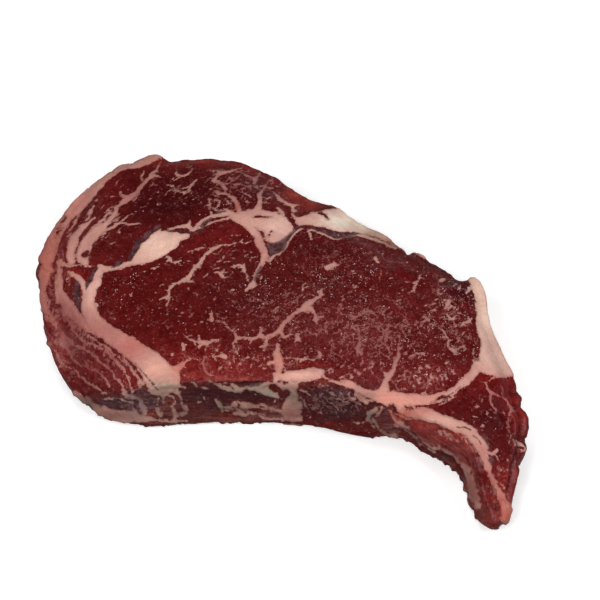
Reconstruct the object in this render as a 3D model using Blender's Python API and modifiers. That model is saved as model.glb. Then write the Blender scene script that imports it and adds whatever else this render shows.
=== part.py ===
"""Raw ribeye steak as one solid, for Blender 4.5.

The steak is a unit slab (u along its length, v from the near side to the far side,
w from the underside to the cut face) carried onto a plan of four smooth sides.
Sizes are in millimetres until finish_steak() scales the mesh to metres.
The object rests on its flat underside, with the origin under the middle of its box.
"""
import bmesh
import bpy
import numpy as np

NAME = "ribeye_steak"
METRES_PER_MM = 0.001

# Driving dimensions, in millimetres
THICKNESS = 28.0          # full height of the cut face over the eye muscle
NOSE_DROP = 16.0          # fall of the cut face towards the near left lobe
NOSE_REACH = 27.0         # width of that sloping lobe, measured across the fat seam
TAIL_DROP = 16.5          # fall of the cut face at the tip of the tail
TAIL_REACH = 57.0         # length of the drooping tail
ARMPIT_DROP = 4.5         # dip of the cut face where the tail leaves the near side
ARMPIT_RADIUS = 13.0
RIM_DROP = 4.0            # roll of the cut face into the outer fat rim
RIM_WIDTH = 11.0
NEAR_LEAN = 4.5           # how far the near wall stands out below the cut face
LEFT_INSET = 2.5          # how far the cut face stays inside the rolled left rim
FAR_INSET = 0.5           # the same along the far side and the tail, which are cut square
FOOT_INSET = 4.0          # how far the underside stays inside the widest girth
NEAR_FOOT_INSET = 1.2
BELLY_HEIGHT = 0.66       # height of the widest girth, as a part of the local height

# Mesh of the cage, before one level of subdivision
CELLS_LONG = 30
CELLS_WIDE = 12
SIDE_CUTS = 2
SUBDIVISION_LEVEL = 1
EDGE_CREASE = 0.5         # outer rim, softly rounded
NEAR_CREASE = 0.85        # near side, where the cut face ends in a crisp edge

# The four sides of the plan at its widest girth, as (x, y); the origin is in the eye muscle.
NEAR_SIDE = (
    (-86, -38), (-75, -43), (-62, -45), (-46, -44), (-28, -43), (-10, -43), (7, -45),
    (20, -48), (29, -49), (35, -47.5), (42, -48.5), (50, -53), (59, -57.5), (64.5, -64),
    (66.5, -73), (67, -83), (69, -92),
)
TAIL_TIP = ((69, -92), (74.5, -95), (80, -90))
FAR_SIDE = (
    (-89, 79), (-80, 85), (-68, 91), (-60, 86), (-42, 88), (-29, 85.5), (-10, 75), (4, 62),
    (21, 52.5), (33, 43.5), (46, 30), (57, 24.5), (71, 13), (75, 17), (78.5, 9), (81, -10),
    (84.5, -26), (88, -40), (91, -52), (87.5, -63), (84.5, -77), (80, -90),
)
LEFT_END = (
    (-86, -38), (-94, -32), (-101, -22), (-107, -8), (-112.5, 9), (-115.5, 26), (-112, 41),
    (-104, 63), (-89, 79),
)

# The seam that the near left lobe slopes away from, as a point and a direction.
NOSE_SEAM_POINT = np.array((-95.0, 10.0))
NOSE_SEAM_DIRECTION = np.array((0.67, -0.743))
TAIL_START = -33.0        # y below which the tail droops
TAIL_LEFT = 28.0          # x left of which nothing droops
ARMPIT = np.array((31.0, -45.0))
USUAL_WIDTH = 90.0        # plan width and length that the rim's roll is measured with
USUAL_LENGTH = 190.0
NOSE_CURVE = 1.5          # powers above 1 let a slope start gently
TAIL_CURVE = 1.3
OVERRUN = 1.1             # how far past its reach a slope goes on falling
ON_EDGE = 0.01            # tolerance on the unit slab for a point of its edge

MEAT_COLOUR = (0.24, 0.035, 0.03, 1.0)
MEAT_ROUGHNESS = 0.42


def clear_scene():
    """Remove the objects that a new file starts with."""
    for item in list(bpy.data.objects):
        bpy.data.objects.remove(item, do_unlink=True)


def smooth_side(points, samples=240):
    """Cubic curve through the points, sampled evenly along its length."""
    knots = np.array(points, dtype=float)
    steps = np.linalg.norm(np.diff(knots, axis=0), axis=1)
    place = np.concatenate(([0.0], np.cumsum(steps)))
    slopes = np.gradient(knots, place, axis=0)
    fine = np.linspace(0.0, place[-1], samples)
    left = np.clip(np.searchsorted(place, fine, side="right") - 1, 0, len(knots) - 2)
    span = steps[left][:, None]
    t = (fine[:, None] - place[left][:, None]) / span
    start = (2 * t**3 - 3 * t**2 + 1) * knots[left] + (t**3 - 2 * t**2 + t) * span * slopes[left]
    end = (3 * t**2 - 2 * t**3) * knots[left + 1] + (t**3 - t**2) * span * slopes[left + 1]
    curve = start + end
    travelled = np.linalg.norm(np.diff(curve, axis=0), axis=1)
    length = np.concatenate(([0.0], np.cumsum(travelled)))
    return curve, length / length[-1]


def along(side, fraction):
    """Points at the given fractions of a side's length."""
    curve, length = side
    return np.stack([np.interp(fraction, length, curve[:, axis]) for axis in (0, 1)], axis=-1)


def plan(u, v, near_inset, far_inset, end_inset):
    """Place (u, v) between the four sides, with the slab drawn in from its outline."""
    near, far = smooth_side(NEAR_SIDE), smooth_side(FAR_SIDE)
    left, tip = smooth_side(LEFT_END), smooth_side(TAIL_TIP)
    width = np.linalg.norm(along(far, u) - along(near, u), axis=-1)
    length = np.linalg.norm(along(tip, v) - along(left, v), axis=-1)
    v = v + near_inset / width * (1 - v) - far_inset / width * v
    u = u + end_inset / length * (1 - 2 * u)
    across = (1 - v)[:, None] * along(near, u) + v[:, None] * along(far, u)
    endwise = (1 - u)[:, None] * along(left, v) + u[:, None] * along(tip, v)
    corners = np.array((NEAR_SIDE[0], FAR_SIDE[0], NEAR_SIDE[-1], FAR_SIDE[-1]), dtype=float)
    weights = np.stack(((1 - u) * (1 - v), (1 - u) * v, u * (1 - v), u * v), axis=-1)
    return across + endwise - weights @ corners


def cut_height(place, u, v):
    """Height of the cut face: full thickness, less the lobe, the tail, the dip and the rim."""
    along_x, along_y = NOSE_SEAM_DIRECTION
    from_seam = place - NOSE_SEAM_POINT
    beyond = from_seam[:, 0] * along_y - from_seam[:, 1] * along_x
    nose = NOSE_DROP * np.clip(beyond / NOSE_REACH, 0, OVERRUN) ** NOSE_CURVE
    down_tail = np.clip((TAIL_START - place[:, 1]) / TAIL_REACH, 0, OVERRUN)
    in_tail = np.clip((place[:, 0] - TAIL_LEFT) / ARMPIT_RADIUS, 0, 1)
    tail = TAIL_DROP * down_tail**TAIL_CURVE * in_tail
    armpit_distance = np.linalg.norm(place - ARMPIT, axis=-1) / ARMPIT_RADIUS
    armpit = ARMPIT_DROP * np.exp(-(armpit_distance**2))
    to_rim = np.minimum((1 - v) * USUAL_WIDTH, u * USUAL_LENGTH)
    rim = RIM_DROP * np.clip(1 - to_rim / RIM_WIDTH, 0, 1) ** 2
    return THICKNESS - nose - tail - armpit - rim


def slab_cage():
    """Unit slab with a grid on both faces and rings of points round its side."""
    cage = bmesh.new()
    bmesh.ops.create_grid(cage, x_segments=CELLS_LONG, y_segments=CELLS_WIDE, size=0.5)
    bmesh.ops.translate(cage, verts=cage.verts[:], vec=(0.5, 0.5, 0.0))
    raised = bmesh.ops.extrude_face_region(cage, geom=cage.faces[:])
    top = [item for item in raised["geom"] if isinstance(item, bmesh.types.BMVert)]
    bmesh.ops.translate(cage, verts=top, vec=(0.0, 0.0, 1.0))
    upright = [edge for edge in cage.edges if abs(edge.verts[0].co.z - edge.verts[1].co.z) > 0.5]
    bmesh.ops.subdivide_edges(cage, edges=upright, cuts=SIDE_CUTS, use_grid_fill=True)
    bmesh.ops.recalc_face_normals(cage, faces=cage.faces[:])
    return cage


def shape_cage(cage):
    """Carry every point of the unit slab to its place on the steak."""
    cage.verts.ensure_lookup_table()
    unit = np.array([vertex.co[:] for vertex in cage.verts])
    u, v, w = np.clip(unit, 0, 1).T
    above = np.clip((w - BELLY_HEIGHT) / (1 - BELLY_HEIGHT), 0, 1) ** 2
    below = np.clip((BELLY_HEIGHT - w) / BELLY_HEIGHT, 0, 1) ** 2
    near_inset = np.where(w > 0, NEAR_LEAN * w, NEAR_FOOT_INSET)
    far_inset = FAR_INSET * above + FOOT_INSET * below
    end_inset = LEFT_INSET * above + FOOT_INSET * below
    place = plan(u, v, near_inset, far_inset, end_inset)
    height = cut_height(place, u, v) * w
    for vertex, (x, y), z in zip(cage.verts, place, height):
        vertex.co = (x, y, z)
    return unit


def crease_edges(cage, unit):
    """Keep the near edge of the cut face crisp and the rest of its edge gently rounded."""
    layer = cage.edges.layers.float.new("crease_edge")
    for edge in cage.edges:
        ends = unit[[edge.verts[0].index, edge.verts[1].index]]
        low = np.all(ends < ON_EDGE, axis=0)
        high = np.all(ends > 1 - ON_EDGE, axis=0)
        if not (low[2] or high[2]):
            continue
        if low[1]:
            edge[layer] = NEAR_CREASE
        elif low[0] or high[0] or high[1]:
            edge[layer] = EDGE_CREASE


def meat_material():
    """Deep red raw beef, slightly wet."""
    material = bpy.data.materials.new("raw_beef")
    material.use_nodes = True
    shader = material.node_tree.nodes["Principled BSDF"]
    shader.inputs["Base Color"].default_value = MEAT_COLOUR
    shader.inputs["Roughness"].default_value = MEAT_ROUGHNESS
    shader.inputs["Metallic"].default_value = 0.0
    return material


def finish_steak(cage):
    """Scale the cage to metres, subdivide it and stand it on the origin."""
    bmesh.ops.scale(cage, vec=(METRES_PER_MM,) * 3, verts=cage.verts[:])
    mesh = bpy.data.meshes.new(NAME)
    cage.to_mesh(mesh)
    cage.free()
    mesh.materials.append(meat_material())
    mesh.shade_smooth()
    steak = bpy.data.objects.new(NAME, mesh)
    collection = bpy.data.collections.new("raw_ribeye_steak")
    bpy.context.scene.collection.children.link(collection)
    collection.objects.link(steak)
    rounding = steak.modifiers.new("rounding", "SUBSURF")
    rounding.levels = SUBDIVISION_LEVEL
    rounding.render_levels = SUBDIVISION_LEVEL
    centre_on_origin(steak)
    return steak


def centre_on_origin(steak):
    """Move the mesh so that the box of the subdivided solid is centred over the origin."""
    bpy.context.view_layer.update()
    solid = steak.evaluated_get(bpy.context.evaluated_depsgraph_get()).to_mesh()
    points = np.array([vertex.co[:] for vertex in solid.vertices])
    low, high = points.min(axis=0), points.max(axis=0)
    shift = -np.array(((low[0] + high[0]) / 2, (low[1] + high[1]) / 2, low[2]))
    for vertex in steak.data.vertices:
        vertex.co = np.array(vertex.co[:]) + shift


def main():
    clear_scene()
    cage = slab_cage()
    unit = shape_cage(cage)
    crease_edges(cage, unit)
    finish_steak(cage)


main()
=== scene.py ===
"""Looks of a raw ribeye steak: cut face, fat seams, marbling, near wall and hooked tail.

The file is laid out as an add-on and run as a script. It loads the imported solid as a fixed
frame and replaces it with one closed surface that carries the seams as attributes.
Plan sizes are in millimetres, with the plan's own origin inside the eye muscle.
"""

import bpy
import numpy as np
from bpy.props import FloatProperty, FloatVectorProperty, IntProperty, PointerProperty
from bpy.types import Operator, Panel, PropertyGroup
from mathutils import Matrix, Vector


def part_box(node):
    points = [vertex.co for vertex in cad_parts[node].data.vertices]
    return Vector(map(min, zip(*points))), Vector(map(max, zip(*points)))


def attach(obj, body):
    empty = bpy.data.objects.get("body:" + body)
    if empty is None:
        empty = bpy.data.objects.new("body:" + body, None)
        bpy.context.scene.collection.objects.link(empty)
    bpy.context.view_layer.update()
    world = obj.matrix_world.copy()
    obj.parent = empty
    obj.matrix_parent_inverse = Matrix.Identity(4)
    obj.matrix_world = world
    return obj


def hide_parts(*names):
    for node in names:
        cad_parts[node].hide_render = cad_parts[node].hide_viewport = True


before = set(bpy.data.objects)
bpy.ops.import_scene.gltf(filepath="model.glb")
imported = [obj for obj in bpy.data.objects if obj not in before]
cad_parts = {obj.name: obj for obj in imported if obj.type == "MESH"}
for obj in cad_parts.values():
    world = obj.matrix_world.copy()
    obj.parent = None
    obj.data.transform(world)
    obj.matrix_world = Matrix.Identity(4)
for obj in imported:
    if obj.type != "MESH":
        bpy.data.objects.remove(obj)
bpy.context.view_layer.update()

bl_info = {
    "name": "Raw ribeye steak",
    "version": (1, 0, 0),
    "blender": (4, 5, 0),
    "location": "3D View > Sidebar > Ribeye",
    "description": "Builds the cut face, fat seams and marbling of a raw ribeye steak",
    "category": "Mesh",
}

NODE = "ribeye_steak"
LOW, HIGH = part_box(NODE)
MM = 0.001
THICKNESS = (HIGH.z - LOW.z) / MM

# Middle of the outline's box in plan millimetres; it comes over the middle of the solid's box.
PLAN_MIDDLE = np.array((-12.2, -2.6))
# Place of the point that all seams lean towards, in plan millimetres, and the way it lies.
SEAM_APEX = np.array((0.0, -277.0, THICKNESS + 354.6))
TOWARDS_FRONT = SEAM_APEX / np.linalg.norm(SEAM_APEX)
# How far the underside's seams wander from those of the face, in millimetres.
UNDERSIDE_DRIFT = 7.0

# ---------------------------------------------------------------- outline of the steak

NEAR_SIDE = (
    (-85.6, -37.4), (-75, -42.4), (-62, -45), (-46, -44), (-28, -43.2), (-10, -43), (7, -45.4),
    (20, -48.8), (29, -50.2), (35, -49.6), (41.6, -51), (49, -56.2), (57, -61), (62.8, -66.4),
    (65.3, -73.6), (66.2, -82), (68.2, -89.6),
)
TAIL_TIP = ((68.2, -89.6), (73.4, -93), (78.4, -89))
FAR_SIDE = (
    (-89, 78.8), (-84.8, 81.8), (-81.2, 85.2), (-77, 85.4), (-73, 88), (-68, 91), (-64, 90), (-60, 87),
    (-54, 88.4), (-48, 87.8), (-42, 88.8), (-36, 87.4), (-29, 86.8), (-24, 84.2), (-19, 81.2),
    (-14, 78.2), (-10, 76.2), (-7, 72.6), (-2, 68.2), (3, 64), (7, 61.2), (12, 59.2), (17, 56),
    (21, 52.5), (25, 48.8), (29, 46), (33, 43.2), (37, 40.8), (41, 36.4), (45.5, 31.4), (47.6, 29),
    (50.7, 30.4), (53.5, 29.2), (57, 25), (61, 22.4), (65, 18.7), (69.2, 14.6), (71.6, 14.4),
    (74.6, 16.2), (76, 15), (77.9, 10), (78.4, 3), (78.6, -4), (79.2, -10), (81.1, -18), (83.2, -26),
    (85.4, -33), (86.3, -37.5), (86.2, -40), (88.4, -43), (87.4, -46.3), (89.5, -50), (89.9, -53.5),
    (89.3, -57.5), (88.1, -59.8), (88.6, -62), (86.6, -66), (84.7, -68.4), (84.9, -70.5),
    (83.5, -75), (81.8, -80), (80, -85.4), (78.4, -89),
)
LEFT_END = (
    (-85.6, -37.4), (-93.4, -31.4), (-100.8, -22), (-107, -8), (-110.8, 9), (-112.4, 18), (-115, 22.4),
    (-114.8, 27), (-113.6, 31), (-111.8, 41), (-106.4, 55), (-102.6, 62.8), (-96.2, 70.8), (-89, 78.8),
)

# ---------------------------------------------------------------- heights of the cut face

NOSE_DROP = 16.0
NOSE_REACH = 27.0
NOSE_SEAM_POINT = np.array((-95.0, 10.0))
NOSE_SEAM_DIRECTION = np.array((0.67, -0.743))
TAIL_DROP = 16.5
TAIL_REACH = 57.0
TAIL_START = -33.0
TAIL_LEFT = 28.0
ARMPIT = np.array((31.0, -45.0))
ARMPIT_DROP = 4.5
ARMPIT_RADIUS = 13.0
RIM_DROP = 4.0
RIM_WIDTH = 11.0
NEAR_LEAN = 4.5
LEFT_INSET = 2.5
FAR_INSET = 0.5
FOOT_INSET = 3.5
BELLY_HEIGHT = 0.62

# Rounding of the face's edge as (part of the side's length, radius in mm), and of the foot.
NEAR_ROUNDING = ((0.0, 3.0), (0.08, 1.0), (0.15, 0.6), (0.6, 0.6), (0.7, 1.4), (0.95, 2.0), (1.0, 3.0))
FAR_ROUNDING = ((0.0, 4.0), (0.12, 3.0), (0.2, 2.2), (0.6, 1.8), (0.78, 2.4), (1.0, 3.0))
LEFT_ROUNDING = ((0.0, 4.0), (0.3, 5.0), (0.8, 4.5), (1.0, 4.0))
TIP_ROUNDING = ((0.0, 3.0), (0.5, 4.0), (1.0, 3.0))
FOOT_ROUNDING = 2.5

# ---------------------------------------------------------------- fat, as (x, y, half width)

FAT_SEAMS = (
    ("outer rim, upper left", (
        (-109, 24, 3.4), (-108, 34, 4.2), (-105, 42, 4.4), (-102, 49, 4.6), (-98.6, 56, 4.4),
        (-94.6, 63, 3.8), (-89.6, 70, 3), (-83.6, 76.4, 2.3), (-78, 80, 2.2))),
    ("outer rim, inner line", ((-98.6, 45, 1), (-102.6, 38, 1.6), (-104.4, 30, 1.5), (-106, 22, 1.2))),
    ("outer rim, top knob", ((-77, 79, 2.6), (-73, 80.5, 3), (-69, 83, 3.2), (-66, 84, 1.5))),
    ("outer rim, left", (
        (-108.6, 26, 3), (-108, 17, 2.4), (-107.6, 9, 2), (-107, 2, 1.6), (-105.4, -4, 1.5),
        (-102.6, -10, 1.3))),
    ("flank streak, first", (
        (-103, -8, 1.2), (-100, -12.6, 1.1), (-97, -16.4, 1), (-93, -21, 0.7), (-88.5, -24, 0.5),
        (-84, -26.6, 0.5), (-80, -31, 0.5), (-76, -34.2, 0.5), (-73, -38, 0.4), (-70, -42, 0.5),
        (-68, -46, 0.5))),
    ("flank streak, second", (
        (-98, -5, 0.8), (-95.4, -10, 0.7), (-92, -16, 0.5), (-88, -21, 0.4), (-85, -23.4, 0.3))),
    ("flank streak, third", (
        (-95, -11, 0.4), (-90, -18.5, 0.4), (-84, -22.5, 0.4), (-78, -26, 0.5), (-73, -31, 0.5),
        (-69, -36, 0.5), (-66.5, -41, 0.4), (-65, -46, 0.5))),
    ("flank streak, fourth", (
        (-94.5, -33.5, 0.6), (-90.5, -34.4, 0.6), (-87, -38, 0.4), (-83, -41, 0.5),
        (-79.5, -43.6, 0.4), (-76, -46, 0.4))),
    ("flank streak, fifth", ((-101, -22, 0.6), (-98.5, -26, 0.8), (-96, -30, 0.6), (-93, -33, 0.4))),
    ("flank streak, sixth", ((-85, -33, 0.4), (-81, -35.4, 0.4), (-77, -38.6, 0.4), (-74.4, -43, 0.4))),
    ("flank streak, seventh", ((-80, -22.5, 0.5), (-77, -24.8, 0.7), (-74, -28, 0.3))),
    ("flank streak, eighth", ((-92, -28, 0.4), (-88.6, -32, 0.5), (-85, -33.6, 0.4))),
    ("flank streak, ninth", ((-71, -29, 0.4), (-67.4, -33.6, 0.4), (-64, -39, 0.4), (-62.4, -43.6, 0.5))),
    ("flank streak, tenth", ((-97, -22, 0.3), (-93, -26, 0.4), (-88, -28.6, 0.3), (-84, -31, 0.3))),
    ("band, lower lip", (
        (-93, -8, 0.6), (-89.4, -13.8, 0.5), (-85, -18.6, 0.4), (-79, -23.6, 0.4), (-73.6, -28, 0.3),
        (-69, -32.6, 0.3), (-64.6, -37.6, 0.5), (-61.4, -42, 0.7))),
    ("left strand, red side", ((-104.2, 0, 0.4), (-101.6, -4.4, 0.5), (-98.6, -8, 0.4))),
    ("second band, upper", (
        (-64.5, 80, 0.5), (-66, 76, 0.6), (-68, 71.5, 0.9), (-71, 66.5, 0.9), (-74, 61.5, 1.1),
        (-77, 58, 1.9), (-80.5, 54, 0.9), (-82, 49, 1.1), (-84.5, 44, 1.3), (-88, 39, 2.6),
        (-91, 34, 3), (-93, 28, 2.8), (-93, 22, 2.2), (-91, 19, 1))),
    ("second band, spur right", ((-68, 71, 0.9), (-65, 71.5, 0.6), (-63.5, 70.5, 0.4))),
    ("second band, spur up", ((-71, 66.5, 0.8), (-72.3, 70, 0.6), (-71.3, 75, 0.4))),
    ("second band, spur left", ((-77, 58.5, 1.2), (-80.5, 60, 0.8), (-81, 62, 0.5))),
    ("second band, lower spur", (
        (-88, 38, 1.4), (-83, 40, 0.8), (-79, 43, 0.8), (-75, 42.3, 0.6), (-70, 42, 0.5))),
    ("lower spur, twig", ((-78.5, 43, 0.5), (-77, 46.5, 0.6), (-74, 48.5, 0.5))),
    ("third band", (
        (-91, 46, 0.6), (-94, 42.4, 1.3), (-97, 37.6, 1.8), (-98.4, 32, 2.1), (-98.8, 26.4, 1.9),
        (-97.8, 20.6, 1.5))),
    ("second band, left lip", ((-84, 50, 0.4), (-88, 44, 0.6), (-92, 38, 0.5), (-95, 31, 0.4), (-96, 25, 0.4))),
    ("third band, twig", ((-92, 53, 0.6), (-93, 50, 0.7), (-94, 45, 0.6))),
    ("fourth band", (
        (-103, 22, 0.8), (-102, 14, 1.4), (-101, 7, 1.8), (-99, 1, 2.4), (-95, -5, 2.8),
        (-91, -10, 2.2), (-87, -14, 1.3), (-81, -18.5, 0.8))),
    ("fourth band, inner", ((-98, 15, 0.8), (-94.5, 12.5, 1.1), (-91.5, 9, 1.4), (-90, 4, 1.2))),
    ("torn line", ((-103.5, 21, 0.7), (-100, 19, 0.8), (-95, 18.3, 0.5), (-88, 18, 0.4))),
    ("main band, shoulder", ((-85, 17.5, 1.9), (-80, 16.8, 1.5), (-76, 18, 1.4), (-72, 20.5, 1.3))),
    ("main band", (
        (-85, 16.5, 1.6), (-86, 11, 2.2), (-87.5, 5, 2.8), (-88, -1, 2.9), (-87, -6, 3),
        (-84, -11.5, 3.2), (-77, -17.5, 3.7), (-70, -23, 4.2), (-63, -28.5, 4.9),
        (-57.5, -34, 5.8), (-55, -39, 6.2), (-54, -43, 5))),
    ("main band, inner lip", ((-84.5, -2, 0.6), (-83.5, -7, 0.7), (-80, -11.5, 0.8))),
    ("left kernel", (
        (-71, 20.5, 1.4), (-68, 23.5, 4), (-63.5, 28, 6.2), (-59, 32, 6.4), (-54, 34.5, 3.6),
        (-48.5, 35.5, 0.8))),
    ("left kernel, upper flap", ((-61, 39, 0.6), (-63, 35, 2.2), (-66, 30, 3))),
    ("kernel link, upper", (
        (-58, 40, 0.6), (-52, 41, 0.9), (-49, 41.5, 1.2), (-47, 38.5, 0.9), (-45, 42, 0.9),
        (-42, 45.5, 0.9), (-38, 47.5, 1), (-33, 49, 1.6))),
    ("kernel link, lower", ((-45, 40, 0.5), (-41, 42.5, 0.6), (-37, 44.5, 0.6), (-31, 46, 0.9))),
    ("kernel link, twig", ((-48.5, 42, 0.7), (-48.5, 45, 0.6))),
    ("middle kernel", (
        (-34, 50.5, 0.9), (-29, 47.5, 2.2), (-23, 46.5, 3.6), (-17, 44.5, 5), (-11, 42, 6),
        (-8, 39.5, 5))),
    ("middle kernel, foot", ((-10, 40, 5), (-11, 36, 4.6), (-12, 33, 2.2), (-11, 31, 0.8))),
    ("middle kernel, top", ((-23, 50, 1), (-19, 49, 2.2), (-14, 48, 2), (-11, 47.5, 1.6))),
    ("division of the eye", (
        (-29, 45.5, 1.6), (-24, 43, 2), (-20.5, 39, 2), (-18, 34, 1.8), (-16.8, 29, 1.9),
        (-15.3, 24, 1.6), (-16.3, 19.5, 1.1), (-18, 15, 0.7), (-19, 11, 0.6), (-20.3, 7.5, 1.2),
        (-23, 4.5, 0.6))),
    ("right line of the gap", (
        (1, 40, 0.6), (-1.5, 38, 0.8), (-4, 34, 0.8), (-6.5, 29.5, 0.9), (-10, 25, 1),
        (-14, 21.5, 0.9))),
    ("far rim fat", (
        (0, 44.3, 2.4), (5, 45, 3.6), (12, 45.5, 5.4), (18, 44.5, 6.6), (25, 42, 4.8),
        (31, 38.6, 3), (37, 35.4, 2.4), (42, 31.5, 2), (45.5, 28.5, 1.7))),
    ("outer fat, down the side", (
        (-115.5, 16, 3), (-115, 26, 4.6), (-113.4, 38, 5), (-110.6, 50, 5), (-106.5, 59.5, 5),
        (-99.4, 70, 5), (-90.6, 80, 5), (-79, 87.6, 5), (-68, 91, 4))),
    ("far fat, down the side", (
        (15, 58.6, 3), (22, 54.6, 5), (31, 48.4, 6), (40, 41, 6), (47, 34.4, 4.6), (54, 29, 3))),
    ("right fat, down the side", (
        (79.6, 15, 3), (82.4, 8, 5), (84.4, -4, 6), (85.6, -16, 6), (87, -27, 6), (88.6, -33, 4.4))),
    ("far rim fat, lower line", (
        (5, 38.7, 0.5), (10, 36.5, 0.6), (15, 33.5, 0.5), (19, 34.6, 0.7), (24, 36, 0.9),
        (29, 35, 0.8), (35, 32.3, 0.8), (41, 28.5, 0.7))),
    ("far nub", ((50, 25.8, 0.9), (51.5, 25.5, 1.6), (53.5, 23.5, 1.2))),
    ("right spike", ((72, 12, 1.6), (74.5, 9, 3), (76, 4, 3))),
    ("right rim", (
        (75, 9, 3), (76, 2, 3), (76, -5, 3.2), (75.5, -12, 3.6), (77, -19, 4.6), (78, -26, 5.6),
        (78.5, -31, 7), (79, -34, 5))),
    ("right rim, lower edge", ((71, -34.4, 2), (75, -35.6, 2), (80, -36.2, 2), (84, -36.2, 2))),
    ("seam under the eye", (
        (71, -32.5, 2.4), (68.4, -36.4, 1.9), (65.3, -40, 1.8), (61.6, -43.4, 1.6), (57, -46.4, 1.5),
        (51, -48.4, 1.8), (44, -49, 2.6), (37, -48.4, 3.2), (31, -47.6, 2.8), (26, -46, 2),
        (22, -44, 1.6))),
    ("seam under the eye, lower layer", ((59.4, -48, 0.5), (55, -50, 0.8), (50, -51, 1), (43, -51.6, 1.4))),
    ("armpit fat", ((34.6, -49.6, 1.2), (38, -52.6, 1.6), (43, -54.6, 2.2), (49, -55.4, 2.6))),
    ("armpit edge fat", (
        (34.8, -53.8, 0.4), (35.6, -55.6, 0.7), (36.8, -58, 0.8), (38.6, -60.4, 0.8), (41, -62.6, 0.5))),
    ("armpit inner fat", ((36.4, -54.4, 0.4), (38.6, -56.2, 0.6), (41.4, -57.2, 0.7), (44.4, -57.2, 0.9))),
    ("tail strip", (
        (48, -55.6, 2), (51.4, -56.8, 2.3), (54.6, -58.6, 2.7), (58, -60.1, 2.7), (61.4, -61.6, 2.6),
        (64.4, -63.6, 2.5), (66.4, -66.6, 2.6), (67.6, -69.8, 2.6), (68.3, -72.8, 2.1),
        (68.9, -76, 1.7), (69.5, -79, 1.2), (70.2, -82, 1), (71, -85, 1.1), (71.8, -88, 1.3),
        (73, -91, 1.6), (74, -94, 1.9), (74, -97, 1.9), (73.4, -100, 1.2))),
    ("tail strip, side spur", ((69.6, -72.6, 0.8), (72, -73, 0.6), (73.6, -71.5, 0.7))),
    ("tail vein", (
        (72.4, -41, 0.4), (73.2, -43.2, 0.4), (74.2, -45.2, 0.7), (75.6, -46.6, 0.7), (77.6, -47.5, 0.45),
        (79.6, -49.4, 0.4), (81.2, -51.5, 0.4), (81.5, -53.5, 0.4), (80.4, -56, 0.35), (79.4, -58.6, 0.35),
        (79.3, -61.6, 0.35), (79.4, -64.5, 0.3), (78.4, -68, 0.25))),
    ("tail vein, left twig", (
        (74.4, -46, 0.5), (73.8, -48.6, 0.4), (74, -50.8, 0.35), (75, -53.4, 0.3), (74.8, -55.4, 0.2))),
    ("tail vein, top", ((73, -41.6, 0.3), (74.4, -40.2, 0.4), (77, -38.8, 0.4), (79, -38, 0.6))),
    ("tail vein, right twig", ((81.4, -53.4, 0.35), (83.6, -55.4, 0.25))),
    ("tail curl", ((80.4, -67.2, 0.5), (82, -67.9, 0.7), (83.6, -69, 0.8), (84.4, -71, 0.8))),
    ("tail curl, inner", ((81, -69, 0.4), (82.4, -70.6, 0.7), (83, -72.4, 0.4))),
    ("near edge, spur", (
        (-9, -22, 0.5), (-9.2, -26, 1.1), (-8.7, -30, 1.8), (-8, -33.5, 1.7), (-8, -37, 2.3))),
    ("near edge, spur bud", ((-12, -31.5, 1), (-9.5, -31, 1.2))),
    ("near edge fat", (
        (-9, -38, 2.2), (-4, -38.2, 2.4), (0, -38, 3), (5, -37.2, 2.9), (9, -35.5, 1.4))),
    ("near edge crumbs", ((9, -38, 0.6), (12, -40.2, 0.7), (15, -41, 0.8), (18, -41.6, 1.2), (21.6, -44, 1.3))),
    ("near edge crumb, bright", ((17, -40, 0.6), (19.6, -41.2, 1.5), (20.8, -43, 1.3))),
    ("near edge crumb, left", ((8.6, -36.6, 0.5), (10, -38.6, 0.7), (12.6, -39.6, 0.4))),
    ("pillar of the eye", (
        (40.4, -20, 0.4), (40, -24, 0.4), (39.4, -28, 0.6), (38.2, -32, 0.8), (36.6, -35.4, 1),
        (34.6, -38.6, 1.3), (33.2, -42, 1.5), (32.3, -45.4, 2.2))),
    ("pillar, left spur", ((34.5, -37.5, 1.2), (33.2, -36, 0.6), (32, -34, 0.4))),
    ("lower left of the eye", ((-43, -29, 0.4), (-46, -31.8, 0.8), (-48.6, -34.4, 1.6), (-50.4, -37, 1.8))),
    ("lower left of the eye, foot", ((-49.6, -34, 1.2), (-48.6, -38, 1.6), (-48.4, -41, 1.4))),
    ("lower left of the eye, twig", ((-46, -36.8, 0.4), (-43.6, -37.2, 0.3))),
    ("near bow", (
        (-38.4, -28.6, 0.4), (-38.8, -31.4, 0.5), (-38, -34.2, 0.6), (-36, -36.6, 0.6), (-33.6, -37.8, 0.4))),
)

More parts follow.
